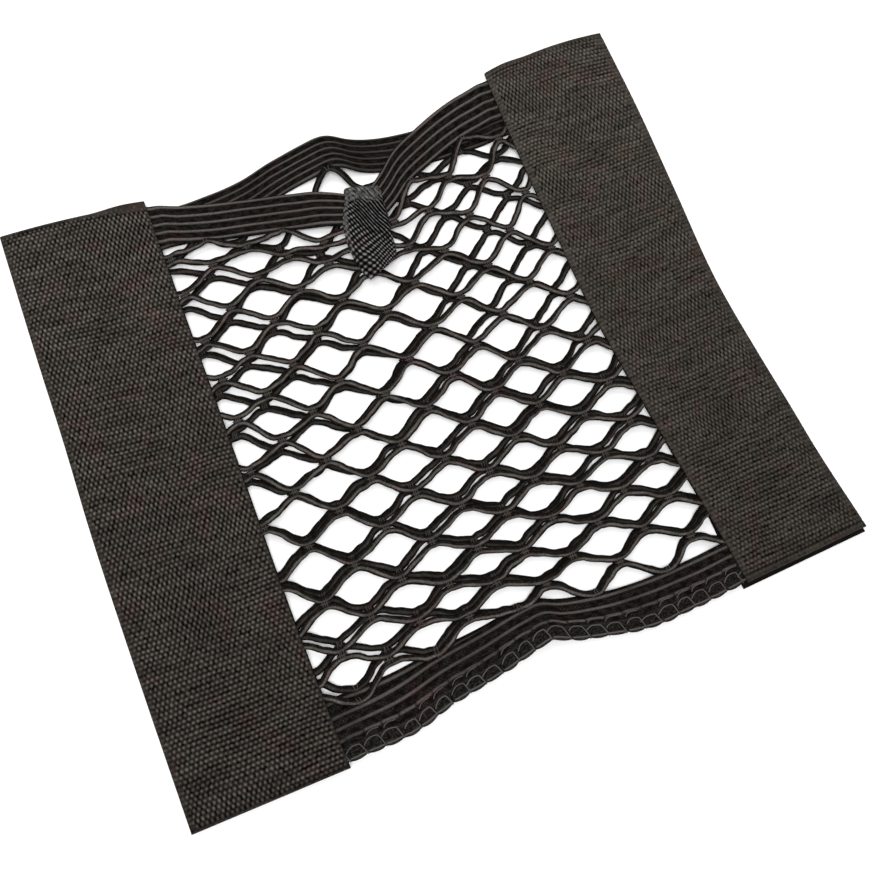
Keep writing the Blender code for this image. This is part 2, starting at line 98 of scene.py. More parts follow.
Band = namedtuple("Band", "x y width")
FRONT_TOP = [
    Band(-90, 107.6, 18.7),
    Band(-80, 104.9, 18.6),
    Band(-60, 99.3, 18.0),
    Band(-40, 94.9, 17.3),
    Band(-20, 90.5, 17.4),
    Band(-7, 86.0, 16.8),
    Band(3, 82.6, 15.1),
    Band(10, 83.4, 15.3),
    Band(17, 87.8, 16.4),
    Band(25, 94.8, 17.4),
    Band(40, 102.4, 18.2),
    Band(60, 109.8, 19.0),
    Band(78, 113.0, 19.4),
    Band(90, 114.4, 19.4),
]
BACK_TOP = [
    Band(-90, 103.4, 18.4),
    Band(-62, 103.1, 17.6),
    Band(-40, 105.5, 17.2),
    Band(-24, 110.2, 16.7),
    Band(-10, 112.3, 16.8),
    Band(1, 112.0, 16.5),
    Band(9, 108.2, 16.4),
    Band(20, 105.4, 16.8),
    Band(40, 103.2, 17.2),
    Band(62, 103.4, 18.0),
    Band(90, 105.2, 18.5),
]
FRONT_BOTTOM = [
    Band(-92, -116.7, 17.8),
    Band(-75, -115.9, 18.3),
    Band(-60, -115.2, 19.4),
    Band(-40, -111.2, 18.2),
    Band(-20, -108.6, 17.9),
    Band(-4, -106.0, 16.6),
    Band(4, -105.5, 15.8),
    Band(11, -108.1, 15.8),
    Band(22, -110.9, 16.4),
    Band(42, -114.1, 17.9),
    Band(62, -114.1, 17.3),
    Band(92, -112.6, 16.4),
]
BACK_BOTTOM_RAISE = [
    Band(-92, 5.6, 18.4),
    Band(-60, 4.6, 18.4),
    Band(-40, 2.6, 18.0),
    Band(-20, 1.8, 17.2),
    Band(4, 1.2, 16.2),
    Band(30, 0.6, 16.8),
    Band(92, 0.6, 16.8),
]
SCALLOPS = 25
SCALLOP_DEPTH = 0.9

CREASE_X = 1.5
BACK_CREASE_LIFT, BACK_CREASE_HALF = 4.0, 13.0
BACK_CREASE_FROM, BACK_CREASE_TO = 94.0, 104.0
BOTTOM_CREASE_LIFT, BOTTOM_CREASE_HALF = 2.6, 9.0
BOTTOM_CREASE_FROM, BOTTOM_CREASE_TO = -90.0, -99.0
CREASE_LOOSENESS = 0.25

# Where the knots of each net lie, at some of its half rows: x at five of the half waves, then y at seven.
# The front table is mostly the rounded printout of a scratch script, which smoothed readings of the photo.
NetRow = namedtuple("NetRow", "row x_1 x_2 x_3 x_4 x_5 y_1 y_2 y_3 y_4 y_5 y_6 y_7")
FIRST_WAVE, LAST_WAVE = -1, 11
X_WAVE_STEP, Y_WAVE_STEP = 3, 2
TOP_ROW, BOTTOM_ROW = -1, 19
FRONT_ROWS = [
    NetRow(-1, -94.5, -47.5, -1.0, 42.5, 85.5, 98.0, 91.0, 84.5, 69.4, 81.0, 103.0, 110.0),
    NetRow(1, -94.5, -48.5, -3.0, 45.5, 85.0, 80.0, 80.0, 73.0, 68.5, 72.0, 79.0, 80.0),
    NetRow(4, -92.5, -49.0, -4.5, 43.5, 86.0, 50.0, 48.0, 48.0, 45.5, 41.5, 39.0, 37.0),
    NetRow(8, -92.0, -48.5, -4.0, 38.0, 84.0, 15.5, 9.5, 3.0, 1.5, -2.0, -5.5, -7.0),
    NetRow(12, -98.0, -53.5, -7.5, 39.0, 85.5, -30.0, -33.5, -38.5, -42.0, -43.5, -44.5, -44.5),
    NetRow(16, -102.5, -57.5, -8.5, 40.0, 86.5, -76.5, -78.5, -79.5, -78.0, -78.0, -78.5, -80.0),
    NetRow(19, -105.0, -57.0, -4.0, 42.0, 88.5, -107.5, -107.0, -102.5, -98.0, -103.0, -105.0, -106.0),
]
BACK_ROWS = [
    NetRow(-1, -97.0, -50.5, -4.0, 39.0, 84.0, 93.0, 93.5, 97.0, 102.5, 95.5, 94.0, 95.0),
    NetRow(1, -97.0, -51.0, -5.0, 37.0, 80.0, 77.5, 76.5, 78.0, 84.0, 80.5, 79.0, 79.0),
    NetRow(4, -96.0, -51.0, -6.0, 36.0, 79.0, 46.5, 45.0, 45.5, 46.5, 45.0, 44.0, 43.5),
    NetRow(8, -95.5, -50.5, -5.5, 37.5, 82.5, 10.5, 6.0, 2.5, 4.0, 1.5, -2.0, -3.0),
    NetRow(12, -98.5, -54.0, -8.0, 38.5, 84.5, -29.5, -32.0, -35.5, -38.5, -40.5, -41.5, -41.5),
    NetRow(16, -102.0, -57.0, -8.5, 39.5, 86.0, -73.0, -75.0, -76.5, -75.0, -76.0, -76.0, -77.5),
    NetRow(19, -104.0, -56.5, -4.5, 42.0, 88.5, -101.0, -101.5, -99.5, -96.5, -102.5, -105.0, -104.5),
]
CORD_WIDE = 2.1
KNOT_HALF = 1.3
KNOT_REACH, TIED_REACH = 2.6, 2.1
Pull = namedtuple("Pull", "wave row x y")
FRONT_PULLS = [Pull(6, 2, 2.4, -3.5)]

Tab = namedtuple("Tab", "down left right")
TAB_OUTLINE = [
    Tab(0.00, -1.2, 13.4),
    Tab(0.15, -3.8, 12.6),
    Tab(0.35, -7.2, 12.0),
    Tab(0.60, -9.0, 10.3),
    Tab(0.82, -8.2, 9.4),
    Tab(0.95, -7.0, 7.6),
    Tab(1.00, -5.8, 5.4),
]
TAB_THICK = 1.3
TAB_TIP_LEFT, TAB_TIP_RIGHT = 50.0, 54.6
TAB_TIP_CURL, TAB_CURL_FROM = 1.2, 0.7
TAB_BACK_LEG = 7.0
TAB_ROOM_HALF, TAB_ROOM_FADE = 13.0, 12.0
TAB_ROOM_FROM, TAB_ROOM_TO = 62.0, 74.0

# ---------------------------------------------------------------- sizes of the fine forms

# Where a size is given for each side, -1 is the left strip and 1 the right one

# The strips' weave: floats of yarn in rows, each row half a pitch aside of the last
FLOAT_PITCH, FLOAT_ROW = {-1: 1.87, 1: 1.80}, 1.80
FLOAT_RELIEF = 0.24
CELLS_PER_FLOAT, CELLS_PER_ROW = 4, 4
# How much the floats and the rows lose in rows that read as lines and in plain places
LINES_QUIET, PLAIN_QUIET, PLAIN_ROWS_QUIET = 0.6, 0.8, 0.6
# How high the rows are, and how much higher where they read as lines
ROW_HIGH, ROW_LINES_HIGH = 0.1, 0.5
# The long edges are rounded over this width by this depth, and near all edges the weave runs straight
EDGE_ROUND, EDGE_DROP = 0.6, 0.35
STRAIGHT_EDGE = 6.0
# The strip comes down from the seam more softly than its solid does: earlier, and over a longer way
RIM_EARLIER, RIM_SOFTER = 1.0, 7.0
# The underside has one face for so many columns and rows of the upper side
UNDERSIDE_EVERY = 8
# The denser edges of each strip, inner and outer, and over how much each fades out
SELVEDGES = {-1: (1.6, 2.8), 1: (2.8, 4.4)}
SELVEDGE_FADES = (1.2, 1.6)
# The smooth hems at each strip's low and high end, and how the high one widens towards the net
HEMS = {-1: (1.2, 1.3), 1: (2.6, 1.5)}
HEM_WIDENS = {-1: 3.2, 1: 0.6}
HEM_WIDENS_FROM, HEM_WIDENS_TO = 32.0, 4.0
HEM_FADE = 0.8
# The groove beside a hem: how far from it, half its width, and how deep
GROOVE_AWAY, GROOVE_HALF, GROOVE_DEEP = 0.4, 0.5, 0.3
# Patches where the rows read more as lines across: their size, how much shorter they are along the
# strip, the usual share and how it changes, and how much is added towards the low end
LINE_PATCH = {-1: 30.0, 1: 17.0}
PATCH_SHORTER = 2.2
LINE_SHARE = {-1: (0.3, 0.34), 1: (0.46, 0.4)}
LOW_END_LINES, LOW_END_FROM, LOW_END_TO = 0.28, 110.0, 10.0
# The most that the patches count as lines, and that the selvedges count as plain
MOST_LINES, MOST_PLAIN = 0.8, 0.85
# How high the cloth lies over its solid's place, which leaves the troughs their room
CLOTH_LIFT = 0.5
# Soft troughs across each strip: where they cross its middle, how they lean, their half width and depth
Trough = namedtuple("Trough", "y lean half depth")
TROUGHS = {
    -1: [
        Trough(92.0, 0.10, 4.0, 0.35),
        Trough(31.0, -0.08, 6.0, 0.45),
        Trough(-38.0, 0.05, 5.0, 0.40),
        Trough(-96.0, -0.12, 5.0, 0.35),
    ],
    1: [
        Trough(84.0, -0.20, 5.0, 0.40),
        Trough(22.0, 0.12, 4.0, 0.45),
        Trough(-30.0, 0.25, 5.0, 0.50),
        Trough(-78.0, 0.10, 4.0, 0.45),
    ],
}

# Unevenness of the forms: by how much, over what distance it changes, and the seed of its chance
Stray = namedtuple("Stray", "by size seed")
PATCH_EDGES, PATCH_SEED = Stray(1.6, 3.0, 61), 71
HEM_EDGE = Stray(0.4, 5.0, 91)
FLOATS_ASIDE, ROWS_ASIDE = Stray(0.16, 9.0, 31), Stray(0.10, 12.0, 41)
# Rows shake along their length more slowly than from one to the next
ROWS_SHAKE, ROWS_SHAKE_ALONG = Stray(0.05, 3.5, 51), 0.4
FLOAT_HEIGHTS = Stray(0.4, 0.5, 11)
CLOTH_RIPPLES, TROUGH_ASIDE = Stray(0.3, 22.0, 5), Stray(1.5, 14.0, 81)
SCALLOP_SIZES = Stray(0.35, 7.0, 91)
RIB_HEIGHTS, RIB_WAVES = Stray(0.18, 7.0, 95), Stray(0.3, 14.0, 93)
FRONT_HIGHLIGHT_STRAY, BACK_HIGHLIGHT_STRAY, FOOT_HIGHLIGHT_STRAY = Stray(0.15, 15.0, 101), Stray(0.15, 12.0, 102), Stray(0.25, 10.0, 103)
CORD_LUMPS, CORD_SWELLS = Stray(0.07, 1.5, 40), Stray(0.13, 7.0, 55)
CORD_TWIST = Stray(0.07, 9.0, 70)
TAB_LEANING, TAB_YARNS, TAB_DOTS = Stray(0.04, 9.0, 22), Stray(0.06, 5.0, 24), Stray(0.05, 4.0, 23)
TAB_SLANT_EDGE, TAB_SIDE_EDGE = Stray(0.05, 2.5, 25), Stray(0.1, 3.0, 27)
TAB_HEIGHTS = Stray(0.3, 0.5, 26)

# Cords and the threads that tie their knots
CORD_STEP, LEAST_CORD_STEPS, CORD_SIDES = 0.7, 6, 10
# How wide and how wavy the cords look, and how much painted shade darkens them, in the front and in the back
# layer
CordLook = namedtuple("CordLook", "wide waves long_waves dull")
FRONT_CORDS = CordLook(2.65, Stray(0.5, 4.0, 10), Stray(0.35, 9.0, 25), 0.0)
BACK_CORDS = CordLook(2.9, Stray(0.5, 4.0, 10), Stray(1.1, 9.0, 25), 1.0)
KNOT_FLAT, KNOT_NEAR = 0.3, 2.2
# How much narrower a cord is at its knots, and how far the pattern is moved from one cord to the next
KNOT_NARROWER, CORD_PATTERN_STEP = 0.1, 7.3
THREAD_THICK, THREAD_SIDES, THREAD_STEP = 0.36, 5, 0.5
# The knit in a knot: its points along the cord, how full it is at each of them, and its sides
KNIT_PLACES, KNIT_FULL, KNIT_SIDES = (-2.2, -1.5, -0.5, 0.5, 1.5, 2.2), (0.25, 0.75, 1.0, 1.0, 0.75, 0.25), 8
KNIT_WIDE, KNIT_HIGH = 0.75, 0.8
KNOT_THREADS, KNOT_THREAD_DIP = (-0.95, -0.1, 0.75), 0.35
# Where a cord is tied to a band: how far it lies over the band, how much it rises, and its threads
TIED_LAP, TIED_LIFT = 1.5, 1.1
TIED_THREADS, TIED_FROM, TIED_TO, TIED_ARCH = (-0.7, 0.5), -1.3, 1.5, 1.6
THREAD_POINTS = 9

# Ribs of the bands: how many, and where the first and the last one lie, as shares of the width
FACE_RIBS, BACK_RIBS, FOOT_RIBS = (5, 0.075, 0.925), (6, 0.05, 0.95), (4, 0.2, 0.9)
RIB_HALF = 0.62
# How far apart the ribs' unevenness is taken, so that no two are alike
RIB_APART = 9.0
# The valleys between round ribs lie a little deeper than the solid's
VALLEY_DEEPER = 0.15
# What is left of a rib between its dashes
DASH_LEFT = 0.35
# How strong the painted highlight on the ribs is: in front, behind, how much painted shade takes off it to
# the right of the crease, and at the foot
FRONT_RIB_HIGHLIGHT, BACK_RIB_HIGHLIGHT, BACK_RIB_SHADE, FOOT_RIB_HIGHLIGHT = 1.0, 0.65, 0.25, 0.6
BAND_STEP, BAND_COLUMNS, BAND_UNDER_COLUMNS = 0.8, 48, 10
# The underside lies a little over its solid's, and more at the band's edges
BAND_UNDER_LIFT, BAND_EDGE_LIFT = 0.1, 0.35
# The overlocked hem of the closed edge: its width, its lip along the rim, how its threads lean, and the
# share of notches with a loose loop
HEM_WIDE, LIP_WIDE, HEM_LEAN = 4.6, 1.3, 1.5
LOOP_SHARE, HEM_THREAD_SEED = 0.6, 17

# The tape: its columns and rows of points, and its ground, from which the hooks hang
TAPE_COLUMNS, TAPE_ROWS = 30, 121
TAPE_GROUND = 0.55
# How much of its length the tape ends short of the strip's low end
TAPE_SHORT = {-1: 0.0035, 1: 0.0}
# Hooks: their pitch, how far every second row is moved aside, and the angles of a hook's three corners
HOOK_PITCH_ACROSS, HOOK_PITCH_ALONG = 1.6, 1.9
HOOK_ROW_ASIDE = 0.45
HOOK_CORNERS = (0.5, 2.6, 4.7)
# A hook's bend: how far it reaches along the strip, how high it is there, and half its thickness
Bend = namedtuple("Bend", "reach high half")
HOOK_BEND = [
    Bend(0.0, TAPE_GROUND + 0.05, 0.16),
    Bend(0.0, 0.22, 0.13),
    Bend(0.28, 0.05, 0.12),
    Bend(0.52, 0.2, 0.09),
]

# The tab's weave and how it leans. Its relief, and how thick its edges are next to its middle.
TAB_PITCH_ACROSS, TAB_PITCH_DOWN = 1.36, 2.05
TAB_LEAN = 0.38
TAB_RELIEF, TAB_EDGE_THICK = 0.2, 0.55
# Columns of points over the tab, one in so many of them on its inner side, and rows on each leg
TAB_COLUMNS, TAB_INNER_EVERY = 64, 4
TAB_BACK_STEPS, TAB_FOLD_STEPS, TAB_FRONT_STEPS = 14, 10, 100
# Its upper corners, the drop of its fold to the right, and the groove under the fold
TAB_CORNER, TAB_RIGHT_DROP = 1.2, 4.6
TAB_ROLL, TAB_ROLL_DEEP = 0.095, 0.55
TAB_FOLD_RADIUS = 0.5 * (CORD_THICK + 2.0 * GAP)
# Frayed stitches over the fold, and the seam along the left border
TAB_TOP_STITCHES, TAB_SIDE_STITCHES, TAB_STITCH_SEED = 34, 18, 5
TAB_TOP_THREAD, TAB_SIDE_THREAD = 0.42, 0.26

# The finish zone of sewing thread on any piece
THREAD_ZONE = (0.0, 0.0, 1.0)
# Where the painted highlight of a cord's welt lies round it, in turns from the side towards the closed edge
WELT_HIGHLIGHT_TURN = 0.18

# ---------------------------------------------------------------- the camera, the light and the floor

# Where the camera stands, and which way the right and the lower side of the picture lie
CAMERA_PLACE = (-99.9, -139.0, 460.2)
CAMERA_RIGHT = (0.9177, -0.3866, 0.0915)
CAMERA_DOWN = (-0.3448, -0.8895, -0.2998)
CAMERA_LENS, CAMERA_SENSOR = 49.66, 36.0
CAMERA_NEAR, CAMERA_FAR = 0.01, 20.0

# Soft lights that point at the origin, in metres and watts, and the even light from all around
Lamp = namedtuple("Lamp", "name place size power")
LAMPS = [
    Lamp("key_light", (-0.27, -0.36, 1.25), 0.6, 12.0),
    Lamp("back_light", (-0.1, 0.45, 0.75), 0.6, 3.0),
]
WORLD_LIGHT = 0.55
# Half the floor's width, and how far it lies under the cloth, in metres
FLOOR_HALF, FLOOR_LOW = 2.5, 0.00005
PAPER = (0.97, 0.97, 0.97, 1.0)


# ---------------------------------------------------------------- curves, heights and places


def smooth_step(start, end, value):
    """0 at start, 1 at end and eased between them, whichever of the two is the larger."""
    t = np.clip((np.asarray(value, float) - start) / (end - start), 0.0, 1.0)
    return t * t * (3.0 - 2.0 * t)


def along(places, values, place):
    """The values at some places, on a smooth curve through the values at the given places."""
    places = np.asarray(places, float)
    values = np.asarray(values, float)
    place = np.asarray(place, float)
    slopes = np.gradient(values, places)
    i = np.clip(np.searchsorted(places, place) - 1, 0, len(places) - 2)
    step = places[i + 1] - places[i]
    t = (place - places[i]) / step
    rise = values[i + 1] - values[i]
    bend_in = slopes[i] * step - rise
    bend_out = rise - slopes[i + 1] * step
    inside = values[i] + t * rise + t * (1.0 - t) * ((1.0 - t) * bend_in + t * bend_out)
    before = values[0] + slopes[0] * (place - places[0])
    after = values[-1] + slopes[-1] * (place - places[-1])
    return np.where(t < 0.0, before, np.where(t > 1.0, after, inside))


def bell(off, half):
    """1 where off is 0, and falling smoothly away over a distance of about half on both sides."""
    return np.exp(-((off / half) ** 2))


def length_along(x, y):
    """How far along a line each of its points lies."""
    return np.concatenate([[0.0], np.cumsum(np.hypot(np.diff(x), np.diff(y)))])


def left_of(line):
    """The level direction to the left of a line, at each of its points."""
    tangent = np.gradient(line, axis=0)
    across = np.stack([-tangent[:, 1], tangent[:, 0], np.zeros(len(line))], axis=-1)
    return across / np.maximum(np.linalg.norm(across, axis=1), 1e-6)[:, None]


def crossed(run, around):
    """Pattern coordinates for rows of points, from what counts along the rows and across them."""
    return np.stack(np.meshgrid(run, around, indexing="ij"), axis=-1)


def column(rows, name):
    return [getattr(row, name) for row in rows]


def strip_rows(side):
    return LEFT_STRIP if side < 0 else RIGHT_STRIP


def strip_edge(side, name, y):
    rows = strip_rows(side)
    return along(column(rows, "y"), column(rows, name), y)


def from_strip(x, y):
    """How far a point lies from the nearer strip's inner edge, positive out in the net."""
    return np.minimum(x - strip_edge(-1, "inner", y), strip_edge(1, "inner", y) - x)


def layer_thickness(x, y):
    """A cord's or a rib's height: full in the open net and squeezed flat under the webbing."""
    squeezed = smooth_step(SQUEEZE_FROM, SQUEEZE_TO, from_strip(x, y))
    return CORD_THICK + (SEAM_THICK - CORD_THICK) * squeezed


def crease_height(x, y):
    """How far the crease lifts the back layer, at the mouth and at the closed edge."""
    mouth = BACK_CREASE_LIFT * bell(x - CREASE_X, BACK_CREASE_HALF)
    mouth = mouth * smooth_step(BACK_CREASE_FROM, BACK_CREASE_TO, y)
    bottom = BOTTOM_CREASE_LIFT * bell(x - CREASE_X, BOTTOM_CREASE_HALF)
    bottom = bottom * smooth_step(BOTTOM_CREASE_FROM, BOTTOM_CREASE_TO, y)
    return mouth + bottom


def back_height(x, y):
    """The underside of the back layer: on the floor, but for the hook tape and the creases."""
    climb = (TAPE_THICK + GAP) * smooth_step(CLIMB_FROM, CLIMB_TO, from_strip(x, y))
    return climb + crease_height(x, y)


def front_height(x, y):
    """The underside of the front layer, which lies on the back one and makes room for the tab."""
    aside = np.abs(x - CREASE_X)
    room = smooth_step(TAB_ROOM_HALF + TAB_ROOM_FADE, TAB_ROOM_HALF, aside)
    room = room * smooth_step(TAB_ROOM_FROM, TAB_ROOM_TO, y)
    lift = (TAB_THICK + GAP) * room + CREASE_LOOSENESS * crease_height(x, y)
    return back_height(x, y) + layer_thickness(x, y) + GAP + lift


def wander(x, y, size, seed):
    """Smooth unevenness between -1 and 1 that changes over about the given size, the same each run."""
    x, y = np.broadcast_arrays(np.asarray(x, float) / size, np.asarray(y, float) / size)
    count = 64
    table = np.random.default_rng(seed).uniform(-1.0, 1.0, (count, count))
    i, j = np.floor(x).astype(int), np.floor(y).astype(int)
    s, t = x - i, y - j
    s, t = s * s * (3.0 - 2.0 * s), t * t * (3.0 - 2.0 * t)
    i, j, next_i, next_j = i % count, j % count, (i + 1) % count, (j + 1) % count
    low = table[i, j] * (1.0 - s) + table[next_i, j] * s
    high = table[i, next_j] * (1.0 - s) + table[next_i, next_j] * s
    return low * (1.0 - t) + high * t


def stray(kind, x, y, more_seed=0):
    """Unevenness of one kind. more_seed makes it differ from strip to strip or from cord to cord."""
    return kind.by * wander(x, y, kind.size, kind.seed + more_seed)


# ---------------------------------------------------------------- meshes


class Cloth:
    """Points, faces, pattern coordinates and finish zones, gathered into one piece."""

    def __init__(self):
        self.points = []
        self.zones = []
        self.faces = []
        self.places = []
        self.count = 0

    def add_points(self, points, zones=(0.0, 0.0, 0.0)):
        """Adds points with their finish zones, and says where in the list they start."""
        points = np.asarray(points, float)
        zones = np.broadcast_to(np.asarray(zones, float), points.shape).reshape(-1, 3)
        points = points.reshape(-1, 3)
        self.points.append(points)
        self.zones.append(zones)
        self.count += len(points)
        return self.count - len(points)

    def add_face(self, corners, places):
        self.faces.append(list(corners))
        self.places.extend(places)

    def add_quads(self, corners, places):
        """Adds many four-cornered faces from arrays."""
        self.faces.extend(np.asarray(corners).reshape(-1, 4).tolist())
        self.places.extend(np.asarray(places, float).reshape(-1, 2).tolist())

    def grid(self, points, places, ring=False, zones=(0.0, 0.0, 0.0)):
        """A net of quads over rows of points. In a ring the last point of a row joins the first one.

        places holds the pattern coordinates, with one more to a row than there are points in a ring.
        """
        rows, count = points.shape[:2]
        start = self.add_points(points, zones)
        index = start + np.arange(rows * count).reshape(rows, count)
        if ring:
            index = np.concatenate([index, index[:, :1]], axis=1)
        corners = np.stack([index[:-1, :-1], index[:-1, 1:], index[1:, 1:], index[1:, :-1]], axis=-1)
        spots = np.stack([places[:-1, :-1], places[:-1, 1:], places[1:, 1:], places[1:, :-1]], axis=-2)
        self.add_quads(corners, spots)
        return index

    def closed_rings(self, points, places, zones=(0.0, 0.0, 0.0)):
        """A grid of rings, with one face over the first ring and one over the last."""
        index = self.grid(points, places, ring=True, zones=zones)
        self.add_face(index[0, :-1][::-1], places[0, :-1][::-1].tolist())
        self.add_face(index[-1, :-1], places[-1, :-1].tolist())

    def walls(self, upper, lower, places):
        """Faces between the four edges of an upper grid and those of a lower one."""
        for up, low, spots in (
            (upper[0], lower[0], places[0]),
            (upper[-1][::-1], lower[-1][::-1], places[-1][::-1]),
            (upper[::-1, 0], lower[::-1, 0], places[::-1, 0]),
            (upper[:, -1], lower[:, -1], places[:, -1]),
        ):
            for i in range(len(up) - 1):
                corners = (up[i], low[i], low[i + 1], up[i + 1])
                self.add_face(corners, [spots[i], spots[i], spots[i + 1], spots[i + 1]])

    def tube(self, line, across, half_wide, half_high, places, zones=(0.0, 0.0, 0.0)):
        """A round tube along a line, with its width in the direction across, closed at both ends."""
        sides = places.shape[1] - 1
        angles = np.arange(sides) * FULL_TURN / sides
        out = np.cos(angles)[None, :, None] * half_wide[:, None, None] * across[:, None, :]
        up = np.zeros_like(out)
        up[..., 2] = np.sin(angles)[None, :] * half_high[:, None]
        self.closed_rings(line[:, None, :] + out + up, places, zones)

    def thread(self, line, thick=THREAD_THICK):
        """A thin sewing thread along a line."""
        line = np.asarray(line, float)
        radius = np.full(len(line), 0.5 * thick)
        spots = crossed(np.arange(len(line)) * THREAD_STEP, np.linspace(0.0, 1.0, THREAD_SIDES + 1))
        self.tube(line, -left_of(line), radius, radius, spots, THREAD_ZONE)

    def build(self, name, material):
        points = np.concatenate(self.points) - np.array([MIDDLE_X, MIDDLE_Y, 0.0])
        data = bpy.data.meshes.new(name)
        data.from_pydata((points * MM).tolist(), [], self.faces)
        layer = data.uv_layers.new(name="Pattern")
        layer.data.foreach_set("uv", np.asarray(self.places, np.float32).ravel())
        zones = data.attributes.new("Zones", "FLOAT_VECTOR", "POINT")
        zones.data.foreach_set("vector", np.concatenate(self.zones).astype(np.float32).ravel())
        data.polygons.foreach_set("use_smooth", np.ones(len(data.polygons), bool))
        data.materials.append(material)
        mesh = bmesh.new()
        mesh.from_mesh(data)
        bmesh.ops.recalc_face_normals(mesh, faces=mesh.faces)
        mesh.to_mesh(data)
        mesh.free()
        data.update()
        obj = bpy.data.objects.new(name, data)
        bpy.context.scene.collection.objects.link(obj)
        return obj


def place_piece(piece, node):
    """The piece stands for a CAD node, which it hides, and moves with the only body."""
    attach(piece, "root")
    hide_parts(node)
    return piece


# ---------------------------------------------------------------- the woven strips


def strip_line(side, t):
    """Lines across a strip: x and y of their inner end, and of their outer end."""
    ends = STRIP_ENDS[side]
    inner_y = ends.low_inner + (ends.high_inner - ends.low_inner) * t
    outer_y = ends.low_outer + (ends.high_outer - ends.low_outer) * t
    return strip_edge(side, "inner", inner_y), inner_y, strip_edge(side, "outer", outer_y), outer_y


def strip_width(side):
    """The mean width of a strip."""
    return np.mean([abs(row.outer - row.inner) for row in strip_rows(side)])


def strip_surface(side, share, t):
    """Where a point of the strip lies, for its share of the way across and along: x, y, underside."""
    inner, inner_y, outer, outer_y = strip_line(side, t)
    step = share * np.abs(outer - inner)
    bow = STRIP_ENDS[side].bow * smooth_step(END_BOW_FROM, 1.0, t)
    y = inner_y + (outer_y - inner_y) * share + bow * 4.0 * share * (1.0 - share)
    low = TAPE_THICK + GAP
    high = low + 2.0 * (SEAM_THICK + GAP)
    lift = smooth_step(RAISED_RIM + RIM_SLOPE + RIM_SOFTER, RAISED_RIM - RIM_EARLIER, step)
    return inner + side * step, y, low + (high - low) * lift


def weave_relief(u, v, lines, plain):
    """The height of a weave between -1 and 1: floats in a check, or rows that read as lines."""
    floats = np.cos(FULL_TURN * u) * np.cos(FULL_TURN * v)
    floats = floats * (1.0 - LINES_QUIET * lines) * (1.0 - PLAIN_QUIET * plain)
    rows = np.cos(2.0 * FULL_TURN * v)
    return floats + rows * (ROW_HIGH + ROW_LINES_HIGH * lines) * (1.0 - PLAIN_ROWS_QUIET * plain)


def strip_zones(side, x, y, from_inner, from_outer, from_low, from_high):
    """Where a strip's rows read as lines, where it is plain and dense, and where a hem's groove lies."""
    inner_wide, outer_wide = SELVEDGES[side]
    inner_fade, outer_fade = SELVEDGE_FADES
    plain = np.maximum(
        smooth_step(inner_wide, inner_wide - inner_fade, from_inner),
        smooth_step(outer_wide, outer_wide - outer_fade, from_outer),
    )
    low_wide, high_wide = HEMS[side]
    # The hem at the mouth widens towards the net, and its edge wanders
    widens = HEM_WIDENS[side] * smooth_step(HEM_WIDENS_FROM, HEM_WIDENS_TO, from_inner)
    high_wide = high_wide + widens + stray(HEM_EDGE, x, y, side)
    hem = np.maximum(
        smooth_step(low_wide, low_wide - HEM_FADE, from_low),
        smooth_step(high_wide, high_wide - HEM_FADE, from_high),
    )
    groove = np.maximum(
        bell(from_low - low_wide - GROOVE_AWAY, GROOVE_HALF),
        bell(from_high - high_wide - GROOVE_AWAY, GROOVE_HALF),
    )
    ragged = stray(PATCH_EDGES, x, y, side)
    patch = wander(x + ragged, PATCH_SHORTER * y, LINE_PATCH[side], PATCH_SEED + side)
    usual, change = LINE_SHARE[side]
    lines = usual + change * patch + LOW_END_LINES * smooth_step(LOW_END_FROM, LOW_END_TO, from_low)
    lines = np.maximum(np.clip(lines, 0.0, MOST_LINES), plain)
    return lines, np.maximum(MOST_PLAIN * plain, hem), groove


def strip_ripple(side, x, y, from_middle):
    """How high the cloth of a strip lies: in soft ripples, with a few troughs across it."""
    ripple = CLOTH_RIPPLES.by + stray(CLOTH_RIPPLES, x, y, side)
    for trough in TROUGHS[side]:
        off = y - trough.y - trough.lean * from_middle - stray(TROUGH_ASIDE, x, y, side)
        ripple = ripple - trough.depth * bell(off, trough.half)
    return ripple + CLOTH_LIFT


def coarse_points(cloth, points, zones):
    """The points of a strip's underside: all of them along its rim, and a few within. Gives their indices."""
    kept = np.zeros(points.shape[:2], bool)
    kept[[0, -1], :] = True
    kept[:, [0, -1]] = True
    kept[::UNDERSIDE_EVERY, ::UNDERSIDE_EVERY] = True
    lower = np.full(kept.shape, -1)
    lower[kept] = cloth.add_points(points[kept], zones[kept]) + np.arange(int(kept.sum()))
    return lower


def coarse_faces(cloth, lower, places):
    """The faces of a strip's underside, which take in the rim's points where they lie on it."""
    every = UNDERSIDE_EVERY
    for row in range(0, lower.shape[0] - 1, every):
        for col in range(0, lower.shape[1] - 1, every):
            path = [(row, c) for c in range(col, col + every)]
            path += [(r, col + every) for r in range(row, row + every)]
            path += [(row + every, c) for c in range(col + every, col, -1)]
            path += [(r, col) for r in range(row + every, row, -1)]
            path = [spot for spot in path if lower[spot] >= 0][::-1]
            cloth.add_face([int(lower[spot]) for spot in path], [places[spot] for spot in path])


